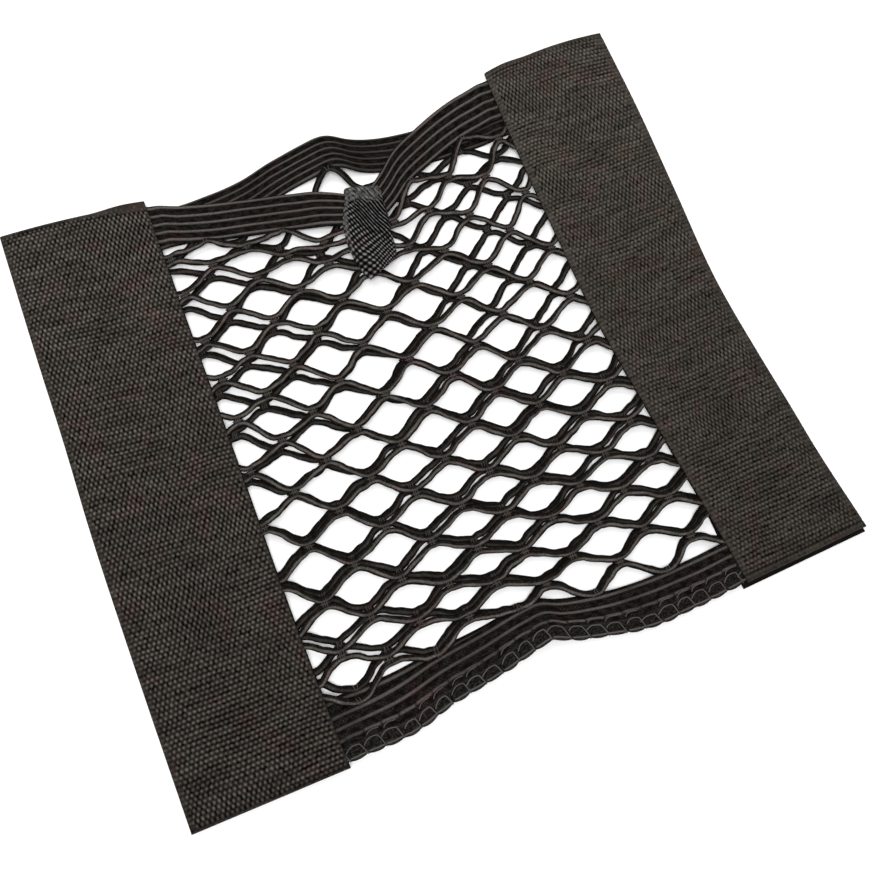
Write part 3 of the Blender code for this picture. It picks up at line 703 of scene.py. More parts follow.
def build_woven_strip(side, word, material):
    """A woven strip: its upper side with the weave as relief, its rim and its coarse underside."""
    ends = STRIP_ENDS[side]
    long = 0.5 * (ends.high_inner + ends.high_outer - ends.low_inner - ends.low_outer)
    wide = strip_width(side)
    columns = wide / FLOAT_PITCH[side] * CELLS_PER_FLOAT
    columns = int(round(columns / UNDERSIDE_EVERY)) * UNDERSIDE_EVERY
    lines = long / FLOAT_ROW * CELLS_PER_ROW
    lines = int(round(lines / UNDERSIDE_EVERY)) * UNDERSIDE_EVERY
    share, t = np.meshgrid(np.linspace(0.0, 1.0, columns + 1), np.linspace(0.0, 1.0, lines + 1))
    x, y, z = strip_surface(side, share, t)
    from_inner, from_outer = share * wide, (1.0 - share) * wide
    from_low, from_high = t * long, (1.0 - t) * long
    from_long_edge = np.minimum(from_inner, from_outer)
    from_end = np.minimum(from_low, from_high)
    inside = smooth_step(0.0, STRAIGHT_EDGE, np.minimum(from_long_edge, from_end))
    u = share * columns / CELLS_PER_FLOAT + inside * stray(FLOATS_ASIDE, x, y, side)
    v = t * lines / CELLS_PER_ROW * 0.5 + inside * stray(ROWS_ASIDE, x, y, side)
    v = v + inside * stray(ROWS_SHAKE, ROWS_SHAKE_ALONG * x, y, side)
    as_lines, plain, groove = strip_zones(side, x, y, from_inner, from_outer, from_low, from_high)
    relief = weave_relief(u, v, as_lines, plain) * (1.0 + stray(FLOAT_HEIGHTS, u, v, side))
    drop = EDGE_DROP * smooth_step(EDGE_ROUND, 0.0, from_long_edge)
    ripple = strip_ripple(side, x, y, (share - 0.5) * wide) * inside
    top = z + WEBBING_THICK + ripple + FLOAT_RELIEF * relief - drop - GROOVE_DEEP * groove
    places = np.stack([u, v], axis=-1)
    zones = np.stack([as_lines, plain, groove], axis=-1)
    cloth = Cloth()
    upper = cloth.grid(np.stack([x, y, top], axis=-1), places, zones=zones)
    lower = coarse_points(cloth, np.stack([x, y, z + ripple], axis=-1), zones)
    cloth.walls(upper, lower, places)
    coarse_faces(cloth, lower, places)
    piece = cloth.build(word + "_woven_strip", material)
    place_piece(piece, word + "_face_webbing")


def add_hook(cloth, x, y, way, place):
    """One hook, from the tape's ground down and then along the strip, in the given way."""
    line = np.array([(x, y + way * bend.reach, bend.high) for bend in HOOK_BEND])
    corners = np.array([(math.cos(angle), math.sin(angle), 0.0) for angle in HOOK_CORNERS])
    ring = np.array([bend.half * corners for bend in HOOK_BEND])
    spots = np.full((len(HOOK_BEND), len(HOOK_CORNERS) + 1, 2), place)
    cloth.closed_rings((line[:, None, :] + ring)[:, ::-1], spots)


def build_hook_strip(side, word, material):
    """The tape under a woven strip: a plain ground with rows of small hooks on its underside."""
    first, last = STRIP_ENDS[side].low_inner, STRIP_ENDS[side].high_inner
    wide, long = strip_width(side), last - first
    shift_x, shift_y = TAPE_SHIFT[side]

    def spot(share, t):
        t = TAPE_SHORT[side] + (1.0 - TAPE_SHORT[side]) * t
        inner, inner_y, outer, outer_y = strip_line(side, t)
        corner = smooth_step(TAPE_CORNER_TO, 0.0, t)
        inner = inner + shift_x + (TAPE_CORNER_SHIFT[side] - shift_x) * corner
        outer = outer - side * TAPE_INSET
        return inner + (outer - inner) * share, inner_y + (outer_y - inner_y) * share + shift_y

    cloth = Cloth()
    share, t = np.meshgrid(np.linspace(0.0, 1.0, TAPE_COLUMNS), np.linspace(0.0, 1.0, TAPE_ROWS))
    x, y = spot(share, t)
    places = np.stack([share * wide, t * long], axis=-1)
    upper = cloth.grid(np.stack([x, y, np.full(x.shape, TAPE_THICK)], axis=-1), places)
    ground = np.stack([x, y, np.full(x.shape, TAPE_GROUND)], axis=-1)
    lower = cloth.grid(ground[:, ::-1], places[:, ::-1])[:, ::-1]
    cloth.walls(upper, lower, places)
    across, down = int(wide / HOOK_PITCH_ACROSS), int(long / HOOK_PITCH_ALONG)
    for row in range(down):
        for col in range(across):
            share = (col + 0.5 + HOOK_ROW_ASIDE * (row % 2)) / (across + 0.5)
            x, y = spot(share, (row + 0.5) / down)
            way = 1.0 if col % 2 else -1.0
            add_hook(cloth, float(x), float(y), way, [share * wide, row * HOOK_PITCH_ALONG])
    piece = cloth.build(word + "_hook_strip", material)
    place_piece(piece, word + "_hook_tape")


# ---------------------------------------------------------------- the ribbed bands


def band_edges(rows, x):
    """The lower and the upper edge of a band."""
    middle = along(column(rows, "x"), column(rows, "y"), x)
    half = 0.5 * along(column(rows, "x"), column(rows, "width"), x)
    return middle - half, middle + half


def back_bottom_rows():
    """The back band along the closed edge: the front one, raised towards the net as the table says."""
    names = column(BACK_BOTTOM_RAISE, "x"), column(BACK_BOTTOM_RAISE, "y")
    widths = column(BACK_BOTTOM_RAISE, "width")
    return [
        Band(row.x, row.y + float(along(*names, row.x)), float(along(names[0], widths, row.x)))
        for row in FRONT_BOTTOM
    ]


def band_end(side, y):
    """Where a band ends, under the webbing."""
    return float(strip_edge(side, "inner", y)) + side * SEAM_OVERLAP


class BandForm:
    """The form of one ribbed band: where each point of its upper face lies."""

    def __init__(self, rows, underside, ribs, hemmed=False):
        self.rows, self.underside, self.hemmed = rows, underside, hemmed
        self.count, self.first, self.last = ribs
        self.left, self.right = band_end(-1, rows[0].y), band_end(1, rows[-1].y)

    def rib_place(self, share):
        """How many ribs lie below a share of the width: whole numbers are the ribs' crests."""
        return (share - self.first) * (self.count - 1) / (self.last - self.first)

    def lobe(self, x):
        """The scallops of a hem, 0 at the threads that draw it in and about 1 between them."""
        phase = math.pi * (x - self.left) / (self.right - self.left) * SCALLOPS
        return np.abs(np.sin(phase)) ** 0.6 * (1.0 + stray(SCALLOP_SIZES, x, 0.0))

    def dash(self, x, place):
        """How whole a rib is: the one next to a hem is drawn in into dashes, one to a scallop."""
        if not self.hemmed:
            return np.ones(np.broadcast(x, place).shape)
        next_to_hem = np.round(place) == 1.0
        whole = smooth_step(0.15, 0.55, self.lobe(x - 1.2))
        return np.where(next_to_hem, whole, 1.0)

    def surface(self, x, share):
        """y, floor height and upper height of points, for their x and their share of the width."""
        low_y, high_y = band_edges(self.rows, x)
        width = high_y - low_y
        low_z, high_z = self.underside(x, low_y), self.underside(x, high_y)
        y = low_y + width * share
        floor = low_z + (high_z - low_z) * share
        place = self.rib_place(share)
        rib = np.round(place)
        from_rib = place - np.clip(rib, 0, self.count - 1)
        from_rib = from_rib * width * (self.last - self.first) / (self.count - 1)
        ridge = bell(from_rib, RIB_HALF) * (1.0 + stray(RIB_HEIGHTS, x, RIB_APART * rib))
        ridge = ridge * (DASH_LEFT + (1.0 - DASH_LEFT) * self.dash(x, place))
        # The ribs run in soft waves, and shake a little with the scallops of a hem
        reach = share * width
        waves = stray(RIB_WAVES, x, RIB_APART * rib)
        if self.hemmed:
            waves = waves + 0.45 * (self.lobe(x) - 0.6) * smooth_step(12.0, 6.0, reach)
        y = y + waves * smooth_step(0.0, 0.12, np.minimum(share, 1.0 - share))
        if self.hemmed:
            y, ridge = self.hem(x, y, reach, ridge)
        valley = (RIB_VALLEY - VALLEY_DEEPER) / CORD_THICK
        edge = np.minimum(share, 1.0 - share) * width
        profile = (valley + (1.0 - valley) * ridge) * (1.0 - 0.5 * smooth_step(0.8, 0.0, edge))
        return y, floor, floor + profile * layer_thickness(x, y)

    def hem(self, x, y, reach, ridge):
        """y and how raised a point is, with the scallops of the hem, its lip and the bulge inside it."""
        lobe = self.lobe(x)
        in_hem = smooth_step(HEM_WIDE + 0.8, HEM_WIDE - 0.8, reach)
        y = y - SCALLOP_DEPTH * lobe * smooth_step(0.5 * HEM_WIDE, 0.0, reach)
        lip = bell(reach - 0.55 * LIP_WIDE, 0.45 * LIP_WIDE)
        inner = np.clip((reach - LIP_WIDE) / (HEM_WIDE - LIP_WIDE), 0.0, 1.0)
        bulge = 0.05 + 0.6 * lip * (0.4 + 0.6 * lobe) + 0.7 * lobe * np.sin(math.pi * inner)
        return y, ridge * (1.0 - in_hem) + bulge * in_hem


def build_band(name, node, form, material, painted_highlight):
    """A flat elastic band with raised ribs along it. The given function says how strong the painted highlight
    on its ribs is at places x.
    """
    count = int((form.right - form.left) / BAND_STEP)
    x = np.linspace(form.left, form.right, count + 1)[:, None]
    share = np.linspace(0.0, 1.0, BAND_COLUMNS + 1)[None, :]
    y, _, top = form.surface(x, share)
    under_share = np.linspace(1.0, 0.0, BAND_UNDER_COLUMNS + 1)[None, :]
    under_y, bottom, _ = form.surface(x, under_share)
    at_edge = (under_share <= 0.0) | (under_share >= 1.0)
    bottom = bottom + BAND_UNDER_LIFT + BAND_EDGE_LIFT * at_edge
    upper = np.stack([np.broadcast_to(x, y.shape), y, top], axis=-1)
    under = np.stack([np.broadcast_to(x, under_y.shape), under_y, bottom], axis=-1)
    ring = np.concatenate([upper, under], axis=1)[:, ::-1]
    run = length_along(x[:, 0], y[:, BAND_COLUMNS // 2])
    shares = np.concatenate([share[0], under_share[0]])[::-1]
    # The pattern counts ribs, with a rib's crest in the middle of each
    ribs = form.rib_place(np.append(shares, shares[0])) + 0.5
    # The ribs' painted highlight, which is weaker where a rib is drawn in into dashes
    light = painted_highlight(np.broadcast_to(x, ring.shape[:2])) * form.dash(x, ribs[None, :-1] - 0.5)
    hem = np.zeros(ring.shape[:2])
    if form.hemmed:
        low_y, high_y = band_edges(form.rows, x)
        reach = (high_y - low_y) * shares[None, :]
        hem = smooth_step(HEM_WIDE + 0.5, HEM_WIDE - 0.5, reach)
        # Within the hem, the first zone carries a painted highlight along the lip, stronger on the scallops'
        # lobes
        lip = 0.35 * bell(reach - 0.5 * LIP_WIDE, 0.35 * LIP_WIDE) * form.lobe(x)
        light = light * (1.0 - hem) + lip * hem
    zones = np.stack([light, hem, np.zeros(ring.shape[:2])], axis=-1)
    cloth = Cloth()
    cloth.closed_rings(ring, crossed(run, ribs), zones)
    if form.hemmed:
        overlock_hem(cloth, form)
    piece = cloth.build(name, material)
    place_piece(piece, node)


# The front mouth band's ribs get the full painted highlight
def front_mouth_rib_highlight(x):
    return FRONT_RIB_HIGHLIGHT + stray(FRONT_HIGHLIGHT_STRAY, x, 0.0)


def back_mouth_rib_highlight(x):
    """The back band's ribs get a weaker painted highlight, and painted shade darkens them still more to the
    right of the crease, where the band turns away from the light.
    """
    right = smooth_step(CREASE_X - 2.0, CREASE_X + 8.0, x)
    return BACK_RIB_HIGHLIGHT - BACK_RIB_SHADE * right + stray(BACK_HIGHLIGHT_STRAY, x, 0.0)


# The foot bands' ribs get a weaker painted highlight
def foot_rib_highlight(x):
    return FOOT_RIB_HIGHLIGHT + stray(FOOT_HIGHLIGHT_STRAY, x, 0.0)


def overlock_hem(cloth, form):
    """Threads of the hem at each notch: over the edge and on in an arch, along the rim, and loose loops."""
    rng = np.random.default_rng(HEM_THREAD_SEED)
    pitch = (form.right - form.left) / SCALLOPS

    def on_face(x, reach, lift=0.12):
        x = np.asarray(x, float)
        low_y, high_y = band_edges(form.rows, x)
        y, _, top = form.surface(x, np.asarray(reach, float) / (high_y - low_y))
        return np.stack([x, y, top + lift], axis=-1)

    for notch in range(1, SCALLOPS + 1):
        # Over the edge at the notch, up along a lean, and then to the left over the scallop in an arch
        edge_x = form.left + notch * pitch + rng.uniform(-0.4, 0.4)
        inner_x = edge_x - HEM_LEAN + rng.uniform(-0.5, 0.5)
        high = HEM_WIDE - 0.5 + rng.uniform(-0.5, 0.4)
        long = pitch * rng.uniform(0.6, 0.95)
        s = np.linspace(0.0, 1.0, THREAD_POINTS)
        over = on_face(edge_x + (inner_x - edge_x) * s, high * s)
        wrap = over[0] + np.array([[0.0, 0.25, -1.15], [0.0, -0.22, -0.75], [0.0, -0.28, -0.3]])
        arch = on_face(inner_x - long * s[1:], high + 0.3 * np.sin(math.pi * s[1:]) - 1.3 * s[1:] ** 4)
        cloth.thread(np.concatenate([wrap, over, arch]), rng.uniform(0.42, 0.58))
        rim = 0.75 + 0.12 * np.sin(math.pi * s)
        cloth.thread(on_face(edge_x - (0.08 + 0.87 * s) * pitch, rim, 0.22), 0.62)
        if rng.random() < LOOP_SHARE:
            # A loose loop further in, along the dashed rib
            start = edge_x - rng.uniform(0.5, 1.5)
            reach = HEM_WIDE + 2.4 + rng.uniform(-0.3, 0.5) - 1.4 * s**5
            cloth.thread(on_face(start - 0.7 * pitch * s, reach, 0.16), 0.4)


# ---------------------------------------------------------------- the nets


class Lattice:
    """The knots of one net layer, placed by its table and by the bands it is tied to."""

    def __init__(self, rows, top_band, bottom_band, pulls=()):
        self.rows = rows
        self.pulls = pulls
        self.top_band = top_band
        self.bottom_band = bottom_band
        self.levels = column(rows, "row")

    def read(self, letter, wave_step, wave, row):
        """x or y of a knot, on smooth curves through the table's columns for that letter."""
        waves = list(range(FIRST_WAVE, LAST_WAVE + 1, wave_step))
        names = [f"{letter}_{i + 1}" for i in range(len(waves))]
        values = [float(along(self.levels, column(self.rows, name), row)) for name in names]
        return float(along(waves, values, wave))

    def knot(self, wave, row):
        """The place of a knot, counted in half waves across and half rows down."""
        x = self.read("x", X_WAVE_STEP, wave, row)
        ends = (x - KNOT_HALF, x, x + KNOT_HALF)
        if row == TOP_ROW:
            return x, min(float(band_edges(self.top_band, end)[0]) for end in ends) - GAP
        if row == BOTTOM_ROW:
            return x, max(float(band_edges(self.bottom_band, end)[1]) for end in ends) + GAP
        y = self.read("y", Y_WAVE_STEP, wave, row)
        for pull in self.pulls:
            if (wave, row) == (pull.wave, pull.row):
                x, y = x + pull.x, y + pull.y
        return x, y

    def crest(self, wave, row, way):
        """The middle of the cord that meets a knot from above (way 1) or from below (way -1)."""
        x, y = self.knot(wave, row)
        tied = row in (TOP_ROW, BOTTOM_ROW)
        reach = TIED_REACH - TIED_LAP if tied else KNOT_REACH
        return x, y + way * (reach - 0.5 * CORD_WIDE), float(tied)


def cord_line(lattice, cord_row):
    """The middle of one cord from strip to strip, in smooth waves that touch a knot at each crest.

    Each point has x, y, how near it is to its knot, and how near to a knot that is tied to a band.
    """
    line = []
    last = None
    for wave in range(FIRST_WAVE, LAST_WAVE + 1):
        high = (wave + cord_row) % 2 == 0
        x, y, tied = lattice.crest(wave, cord_row if high else cord_row + 1, -1.0 if high else 1.0)
        if last:
            from_x, from_y, from_tied = last
            steps = max(int(math.hypot(x - from_x, y - from_y) / CORD_STEP), LEAST_CORD_STEPS)
            share = np.arange(1, steps) / steps
            run = (x - from_x) * share
            flat = KNOT_FLAT / (x - from_x)
            rise = smooth_step(flat, 1.0 - flat, share)
            before, after = bell(run, KNOT_NEAR), bell(x - from_x - run, KNOT_NEAR)
            near_tied = before * from_tied + after * tied
            line += list(zip(from_x + run, from_y + (y - from_y) * rise, before + after, near_tied))
        line.append((x, y, 1.0, tied))
        last = (x, y, tied)
    line = np.array(line)
    left, right = ([band_end(side, y) for y in line[:, 1]] for side in (-1, 1))
    return line[(line[:, 0] > left) & (line[:, 0] < right)]


def add_cord(cloth, lattice, cord_row, underside, look):
    """One cord of a net, from strip to strip. Gives its length."""
    x, y, near, tied = cord_line(lattice, cord_row).T
    free = 1.0 - np.minimum(near, 1.0)
    y = y + free * stray(look.waves, x, y, cord_row)
    y = y + free * stray(look.long_waves, x, y, cord_row)
    high = 0.5 * layer_thickness(x, y)
    wide = 1.0 + stray(CORD_LUMPS, x, y, cord_row) + free * stray(CORD_SWELLS, x, y, cord_row)
    wide = 0.5 * look.wide * (wide - KNOT_NARROWER * near)
    z = underside(x, y) + high + TIED_LIFT * tied
    run = length_along(x, y)
    places = crossed(run, np.arange(CORD_SIDES + 1) / CORD_SIDES)
    places[..., 0] += cord_row * CORD_PATTERN_STEP
    places[..., 1] += stray(CORD_TWIST, x, y, cord_row)[:, None]
    # The second zone carries the painted shade of the back layer, which lies under the front one
    zones = np.stack([near, np.full(len(x), look.dull), np.zeros(len(x))], axis=-1)
    zones = np.repeat(zones[:, None, :], CORD_SIDES, axis=1)
    across = left_of(np.stack([x, y], axis=-1))
    cloth.tube(np.stack([x, y, z], axis=-1), -across, wide, high, places, zones)
    return run[-1]


def build_net(name, node, lattice, underside, look, material):
    """One layer of net: a round cord for each row, and the threads that tie each knot."""
    cloth = Cloth()
    length = 0.0
    for cord_row in range(TOP_ROW, BOTTOM_ROW):
        length += add_cord(cloth, lattice, cord_row, underside, look)
    for row in range(TOP_ROW, BOTTOM_ROW + 1):
        for wave in range(FIRST_WAVE, LAST_WAVE + 1):
            x, y = lattice.knot(wave, row)
            if (wave + row) % 2 or from_strip(x, y) < 1.0:
                continue
            if row in (TOP_ROW, BOTTOM_ROW):
                x, y, _ = lattice.crest(wave, row, -1.0 if row == TOP_ROW else 1.0)
                tie_to_band(cloth, x, y, underside, row)
            else:
                tie_knot(cloth, x, y, underside, look.dull, row * 31 + wave)
    piece = cloth.build(name, material)
    place_piece(piece, node)


def tie_knot(cloth, x, y, underside, dull, seed):
    """A knot: the knit that joins two cords at their crests, and a few threads over it."""
    rng = np.random.default_rng(seed + 500)
    crest = KNOT_REACH - 0.5 * CORD_WIDE
    knit_x = x + np.array(KNIT_PLACES)
    knit_y = np.full(len(knit_x), y)
    high = 0.5 * layer_thickness(knit_x, knit_y)
    line = np.stack([knit_x, knit_y, underside(knit_x, knit_y) + high], axis=-1)
    full = np.array(KNIT_FULL)
    spots = crossed(knit_x, np.arange(KNIT_SIDES + 1) / KNIT_SIDES)
    side = np.broadcast_to([0.0, -1.0, 0.0], line.shape)
    cloth.tube(line, side, KNIT_WIDE * full, KNIT_HIGH * high * full, spots, (1.0, dull, 0.0))
    for along_knot in KNOT_THREADS:
        lean = rng.uniform(-0.3, 0.3)
        across = np.linspace(-1.0, 1.0, THREAD_POINTS) * (crest - rng.uniform(0.0, 0.35))
        at_x = x + along_knot + rng.uniform(-0.2, 0.2) + lean * across / crest
        at_y = y + across
        dip = KNOT_THREAD_DIP * np.cos(0.5 * math.pi * across / crest)
        z = underside(at_x, at_y) + layer_thickness(at_x, at_y) - dip + 0.05
        cloth.thread(np.stack([at_x, at_y, z], axis=-1))


def tie_to_band(cloth, x, y, underside, row):
    """Threads that hold a cord's crest on the edge of a band."""
    rng = np.random.default_rng(int(x * 7.0) + row + 900)
    for along_knot in TIED_THREADS:
        lean = rng.uniform(-0.3, 0.3)
        across = np.linspace(TIED_FROM, TIED_TO, THREAD_POINTS)
        at_x = x + along_knot + lean * across
        at_y = y + across
        over = np.sqrt(np.clip(1.0 - (across / TIED_ARCH) ** 2, 0.0, 1.0))
        z = underside(at_x, at_y) + layer_thickness(at_x, at_y) * 0.85 + (TIED_LIFT + 0.25) * over
        cloth.thread(np.stack([at_x, at_y, z], axis=-1))


# ---------------------------------------------------------------- the pull tab


def dot_relief(u, v, lines):
    """The height of the tab's weave between -1 and 1: yarns side by side, broken up into dots or not."""
    return np.cos(FULL_TURN * v) * (0.5 + 0.5 * lines) + np.cos(FULL_TURN * u) * 0.5 * (1.0 - lines)


def tab_across(down, share):
    """x of a place on the tab, for how far down its front leg it lies and how far across."""
    downs = column(TAB_OUTLINE, "down")
    left = along(downs, column(TAB_OUTLINE, "left"), down)
    right = along(downs, column(TAB_OUTLINE, "right"), down)
    return left + (right - left) * share


def tab_fold(x, share):
    """y of the fold, which falls off at its corners and towards the right."""
    corners = TAB_CORNER * np.abs(2.0 * share - 1.0) ** 4
    return band_edges(FRONT_TOP, x)[1] - corners - TAB_RIGHT_DROP * smooth_step(0.3, 1.0, share)


def tab_place(leg, amount, share, rise):
    """Points of the tab on its front leg, its fold or its back leg, raised over its inner side."""
    x = tab_across(amount if leg == "front" else 0.0, share)
    fold = tab_fold(x, share)
    if leg == "front":
        tip = TAB_TIP_LEFT + (TAB_TIP_RIGHT - TAB_TIP_LEFT) * share
        y = fold + (tip - fold) * amount
        curl = TAB_TIP_CURL * smooth_step(TAB_CURL_FROM, 1.0, amount)
        return np.stack([x, y, front_height(x, y) + CORD_THICK + GAP + curl + rise], axis=-1)
    middle = front_height(x, fold) + 0.5 * CORD_THICK
    if leg == "fold":
        angle = math.pi * (amount - 0.5)
        reach = TAB_FOLD_RADIUS + rise
        return np.stack([x, fold + GAP + reach * math.cos(angle), middle + reach * math.sin(angle)], axis=-1)
    return np.stack([x, fold - TAB_BACK_LEG * amount, middle - TAB_FOLD_RADIUS - rise], axis=-1)


def tab_row(front, run, share):
    """The weave over one row of the tab: pattern places, finish zones, and how thick the tab is."""
    x = tab_across(front, share)
    y = np.full(share.shape, run)
    # Its yarns lean: along them goes u, from one yarn to the next goes v
    angle = TAB_LEAN + stray(TAB_LEANING, x, y)
    u = (y * np.cos(angle) + x * np.sin(angle)) / TAB_PITCH_DOWN + stray(TAB_DOTS, x, y)
    v = (x * np.cos(angle) - y * np.sin(angle)) / TAB_PITCH_ACROSS + stray(TAB_YARNS, x, y)
    # The unbroken yarns of the upper part end along a slant, and a narrow border runs down the left
    slant = front + 0.3 * (0.5 - share) + stray(TAB_SLANT_EDGE, x, y)
    as_lines = smooth_step(0.56, 0.44, slant)
    as_lines = as_lines * smooth_step(0.12, 0.3, share + stray(TAB_SIDE_EDGE, x, y))
    top = smooth_step(1.5 * TAB_ROLL, TAB_ROLL, front)
    border = np.maximum(0.8 * smooth_step(0.11, 0.07, share) * smooth_step(0.8, 0.6, front), top)
    relief = dot_relief(u, v, as_lines) * (1.0 + stray(TAB_HEIGHTS, u, v)) * (1.0 - 0.8 * border)
    edge = smooth_step(0.0, 0.05, np.minimum(share, 1.0 - share))
    roll = TAB_ROLL_DEEP * bell(front - TAB_ROLL, 0.25 * TAB_ROLL)
    thick = TAB_THICK * (TAB_EDGE_THICK + (1.0 - TAB_EDGE_THICK) * edge) + TAB_RELIEF * relief * edge - roll
    zones = np.stack([as_lines, border, np.zeros(len(share))], axis=-1)
    return np.stack([u, v], axis=-1), zones, thick


def stitch_tab(cloth):
    """Frayed stitches over the fold and just under it, and the seam that holds the left border."""
    rng = np.random.default_rng(TAB_STITCH_SEED)
    reach = np.linspace(0.0, 1.0, 5)
    for stitch in range(TAB_TOP_STITCHES):
        at = (stitch + rng.uniform(0.1, 0.9)) / TAB_TOP_STITCHES
        down = rng.uniform(-0.01, 0.75 * TAB_ROLL) if stitch % 3 else rng.uniform(1.2, 1.6) * TAB_ROLL
        spread, drop = rng.uniform(-0.09, 0.09), rng.uniform(-0.02, 0.025)
        lift = TAB_THICK + rng.uniform(0.05, 0.3)
        line = []
        for s in reach:
            share = np.array([np.clip(at + spread * s, 0.02, 0.98)])
            high = lift + 0.15 * math.sin(math.pi * s)
            line.append(tab_place("front", max(down + drop * s, 0.0), share, high))
        cloth.thread(np.concatenate(line), TAB_TOP_THREAD)
    for stitch in range(TAB_SIDE_STITCHES):
        down = 0.04 + 0.5 * stitch / TAB_SIDE_STITCHES
        slant = 0.03 * (-1.0) ** stitch + rng.uniform(-0.01, 0.01)
        line = []
        for s in reach:
            share = np.array([0.03 + 0.09 * s])
            line.append(tab_place("front", down + slant * s, share, TAB_THICK + 0.15))
        cloth.thread(np.concatenate(line), TAB_SIDE_THREAD)


def build_tab(material):
    """The pull tab: a strip folded over the upper edge of the front band and hanging down in front."""
    stops = [("back", 1.0 - i / TAB_BACK_STEPS) for i in range(TAB_BACK_STEPS)]
    stops += [("fold", i / TAB_FOLD_STEPS) for i in range(TAB_FOLD_STEPS + 1)]
    stops += [("front", i / TAB_FRONT_STEPS) for i in range(1, TAB_FRONT_STEPS + 1)]
    share = np.linspace(0.0, 1.0, TAB_COLUMNS + 1)
    inner_share = share[::TAB_INNER_EVERY]
    rows, places, zones = [], [], []
    run, last = 0.0, None
    for leg, amount in stops:
        middle = tab_place(leg, amount, np.array([0.5]), TAB_THICK)[0]
        if last is not None:
            run += float(np.linalg.norm(middle - last))
        last = middle
        spots, zone, thick = tab_row(amount if leg == "front" else 0.0, run, share)
        outer = tab_place(leg, amount, share, thick)
        inner = tab_place(leg, amount, inner_share, np.zeros(len(inner_share)))[::-1]
        rows.append(np.concatenate([outer, inner]))
        places.append(np.concatenate([spots, spots[::TAB_INNER_EVERY][::-1], spots[:1]]))
        zones.append(np.concatenate([zone, zone[::TAB_INNER_EVERY][::-1]]))
    cloth = Cloth()
    cloth.closed_rings(np.stack(rows), np.stack(places), np.stack(zones))
    stitch_tab(cloth)
    piece = cloth.build("folded_tab", material)
    place_piece(piece, "pull_tab")


# ---------------------------------------------------------------- materials


class Graph:
    """Adds nodes to a material or to a node group, and joins them."""

    def __init__(self, tree):
        self.tree = tree

    def node(self, kind, **settings):
        made = self.tree.nodes.new(kind)
        for name, value in settings.items():
            setattr(made, name, value)
        return made

    def feed(self, socket, value):
        """Joins an output to the socket, or sets the socket's own value."""
        if isinstance(value, bpy.types.NodeSocket):
            self.tree.links.new(value, socket)
        elif value is not None:
            socket.default_value = value

    def math(self, operation, *values):
        made = self.node("ShaderNodeMath", operation=operation)
        for socket, value in zip(made.inputs, values):
            self.feed(socket, value)
        return made.outputs["Value"]

    def times(self, first, second):
        return self.math("MULTIPLY", first, second)

    def line(self, value, slope, start):
        """The value times a slope, plus a start."""
        return self.math("MULTIPLY_ADD", value, slope, start)

    def wave(self, value, length=1.0):
        """A wave between -1 and 1, which is 1 where the value is 0 and again after each length."""
        return self.math("COSINE", self.times(value, FULL_TURN / length))

    def split(self, vector):
        """The three numbers of a vector."""
        parts = self.node("ShaderNodeSeparateXYZ")
        self.feed(parts.inputs[0], vector)
        return parts.outputs["X"], parts.outputs["Y"], parts.outputs["Z"]

    def shade(self, colour, by):
        """The colour, made lighter or darker by a factor, or multiplied by another colour."""
        return self.mix(1.0, colour, by, "MULTIPLY")

    def mix(self, share, first, second, blend="MIX"):
        made = self.node("ShaderNodeMix", data_type="RGBA", blend_type=blend)
        self.feed(made.inputs["Factor"], share)
        # Several sockets are named A and B, so the ones for colours are found by their type
        for name, value in (("A", first), ("B", second)):
            for socket in made.inputs:
                if socket.name == name and socket.type == "RGBA":
                    self.feed(socket, value)
        return [out for out in made.outputs if out.type == "RGBA"][0]

    def between(self, value, low, high, to_low=0.0, to_high=1.0):
        """The value, brought smoothly from one range into another."""
        made = self.node("ShaderNodeMapRange", interpolation_type="SMOOTHSTEP")
        for socket, number in zip(made.inputs, (value, low, high, to_low, to_high)):
            self.feed(socket, number)
        return made.outputs["Result"]

    def noise(self, place, scale, detail=2.0, roughness=0.5):
        made = self.node("ShaderNodeTexNoise")
        self.feed(made.inputs["Vector"], place)
        self.feed(made.inputs["Scale"], scale)
        self.feed(made.inputs["Detail"], detail)
        self.feed(made.inputs["Roughness"], roughness)
        return made.outputs["Fac"]

    def stretch(self, place, x, y):
        """The place with its first two coordinates counted faster or more slowly."""
        made = self.node("ShaderNodeVectorMath", operation="MULTIPLY")
        self.feed(made.inputs[0], place)
        made.inputs[1].default_value = (x, y, 1.0)
        return made.outputs["Vector"]

    def streaks(self, place, x, y, detail=2.0, roughness=0.5):
        """Noise that changes at its own pace along each coordinate."""
        return self.noise(self.stretch(place, x, y), 1.0, detail, roughness)


def grey(value, warm=0.0):
    """A dark yarn colour in linear light, a little warmer than neutral."""
    return (value * (1.0 + warm), value, value * (1.0 - warm), 1.0)


# Yarns of woven cloth, in linear light: the painted shade in the pits, the middle tone, the painted highlight
# on the crowns of the weave, how much warmer than grey, and the tone of its sewing thread, if it has any
Yarn = namedtuple("Yarn", "pit middle crown warm thread")
LEFT_YARN = Yarn(0.0006, 0.0245, 0.088, 0.16, 0.0)
RIGHT_YARN = Yarn(0.0015, 0.034, 0.074, 0.16, 0.0)
TAB_YARN = Yarn(0.0006, 0.009, 0.165, 0.02, 0.1)
TAPE_YARN = Yarn(0.003, 0.008, 0.018, 0.12, 0.0)
# How much of a yarn's warmth the painted highlight on its crowns keeps
CROWN_WARM = 0.7
# Heights at which the tone of woven cloth turns from the painted shade of the pits to the middle tone, and
# from it to the painted highlight of the crowns
PIT_TO_MIDDLE, MIDDLE_TO_CROWN = (0.14, 0.5), (0.5, 1.02)
# Shades: from one value to another, a factor from dark to light
FIBRE_SHADE, CROSS_BAND_SHADE = (0.3, 0.7, 0.72, 1.28), (0.3, 0.7, 0.72, 1.25)
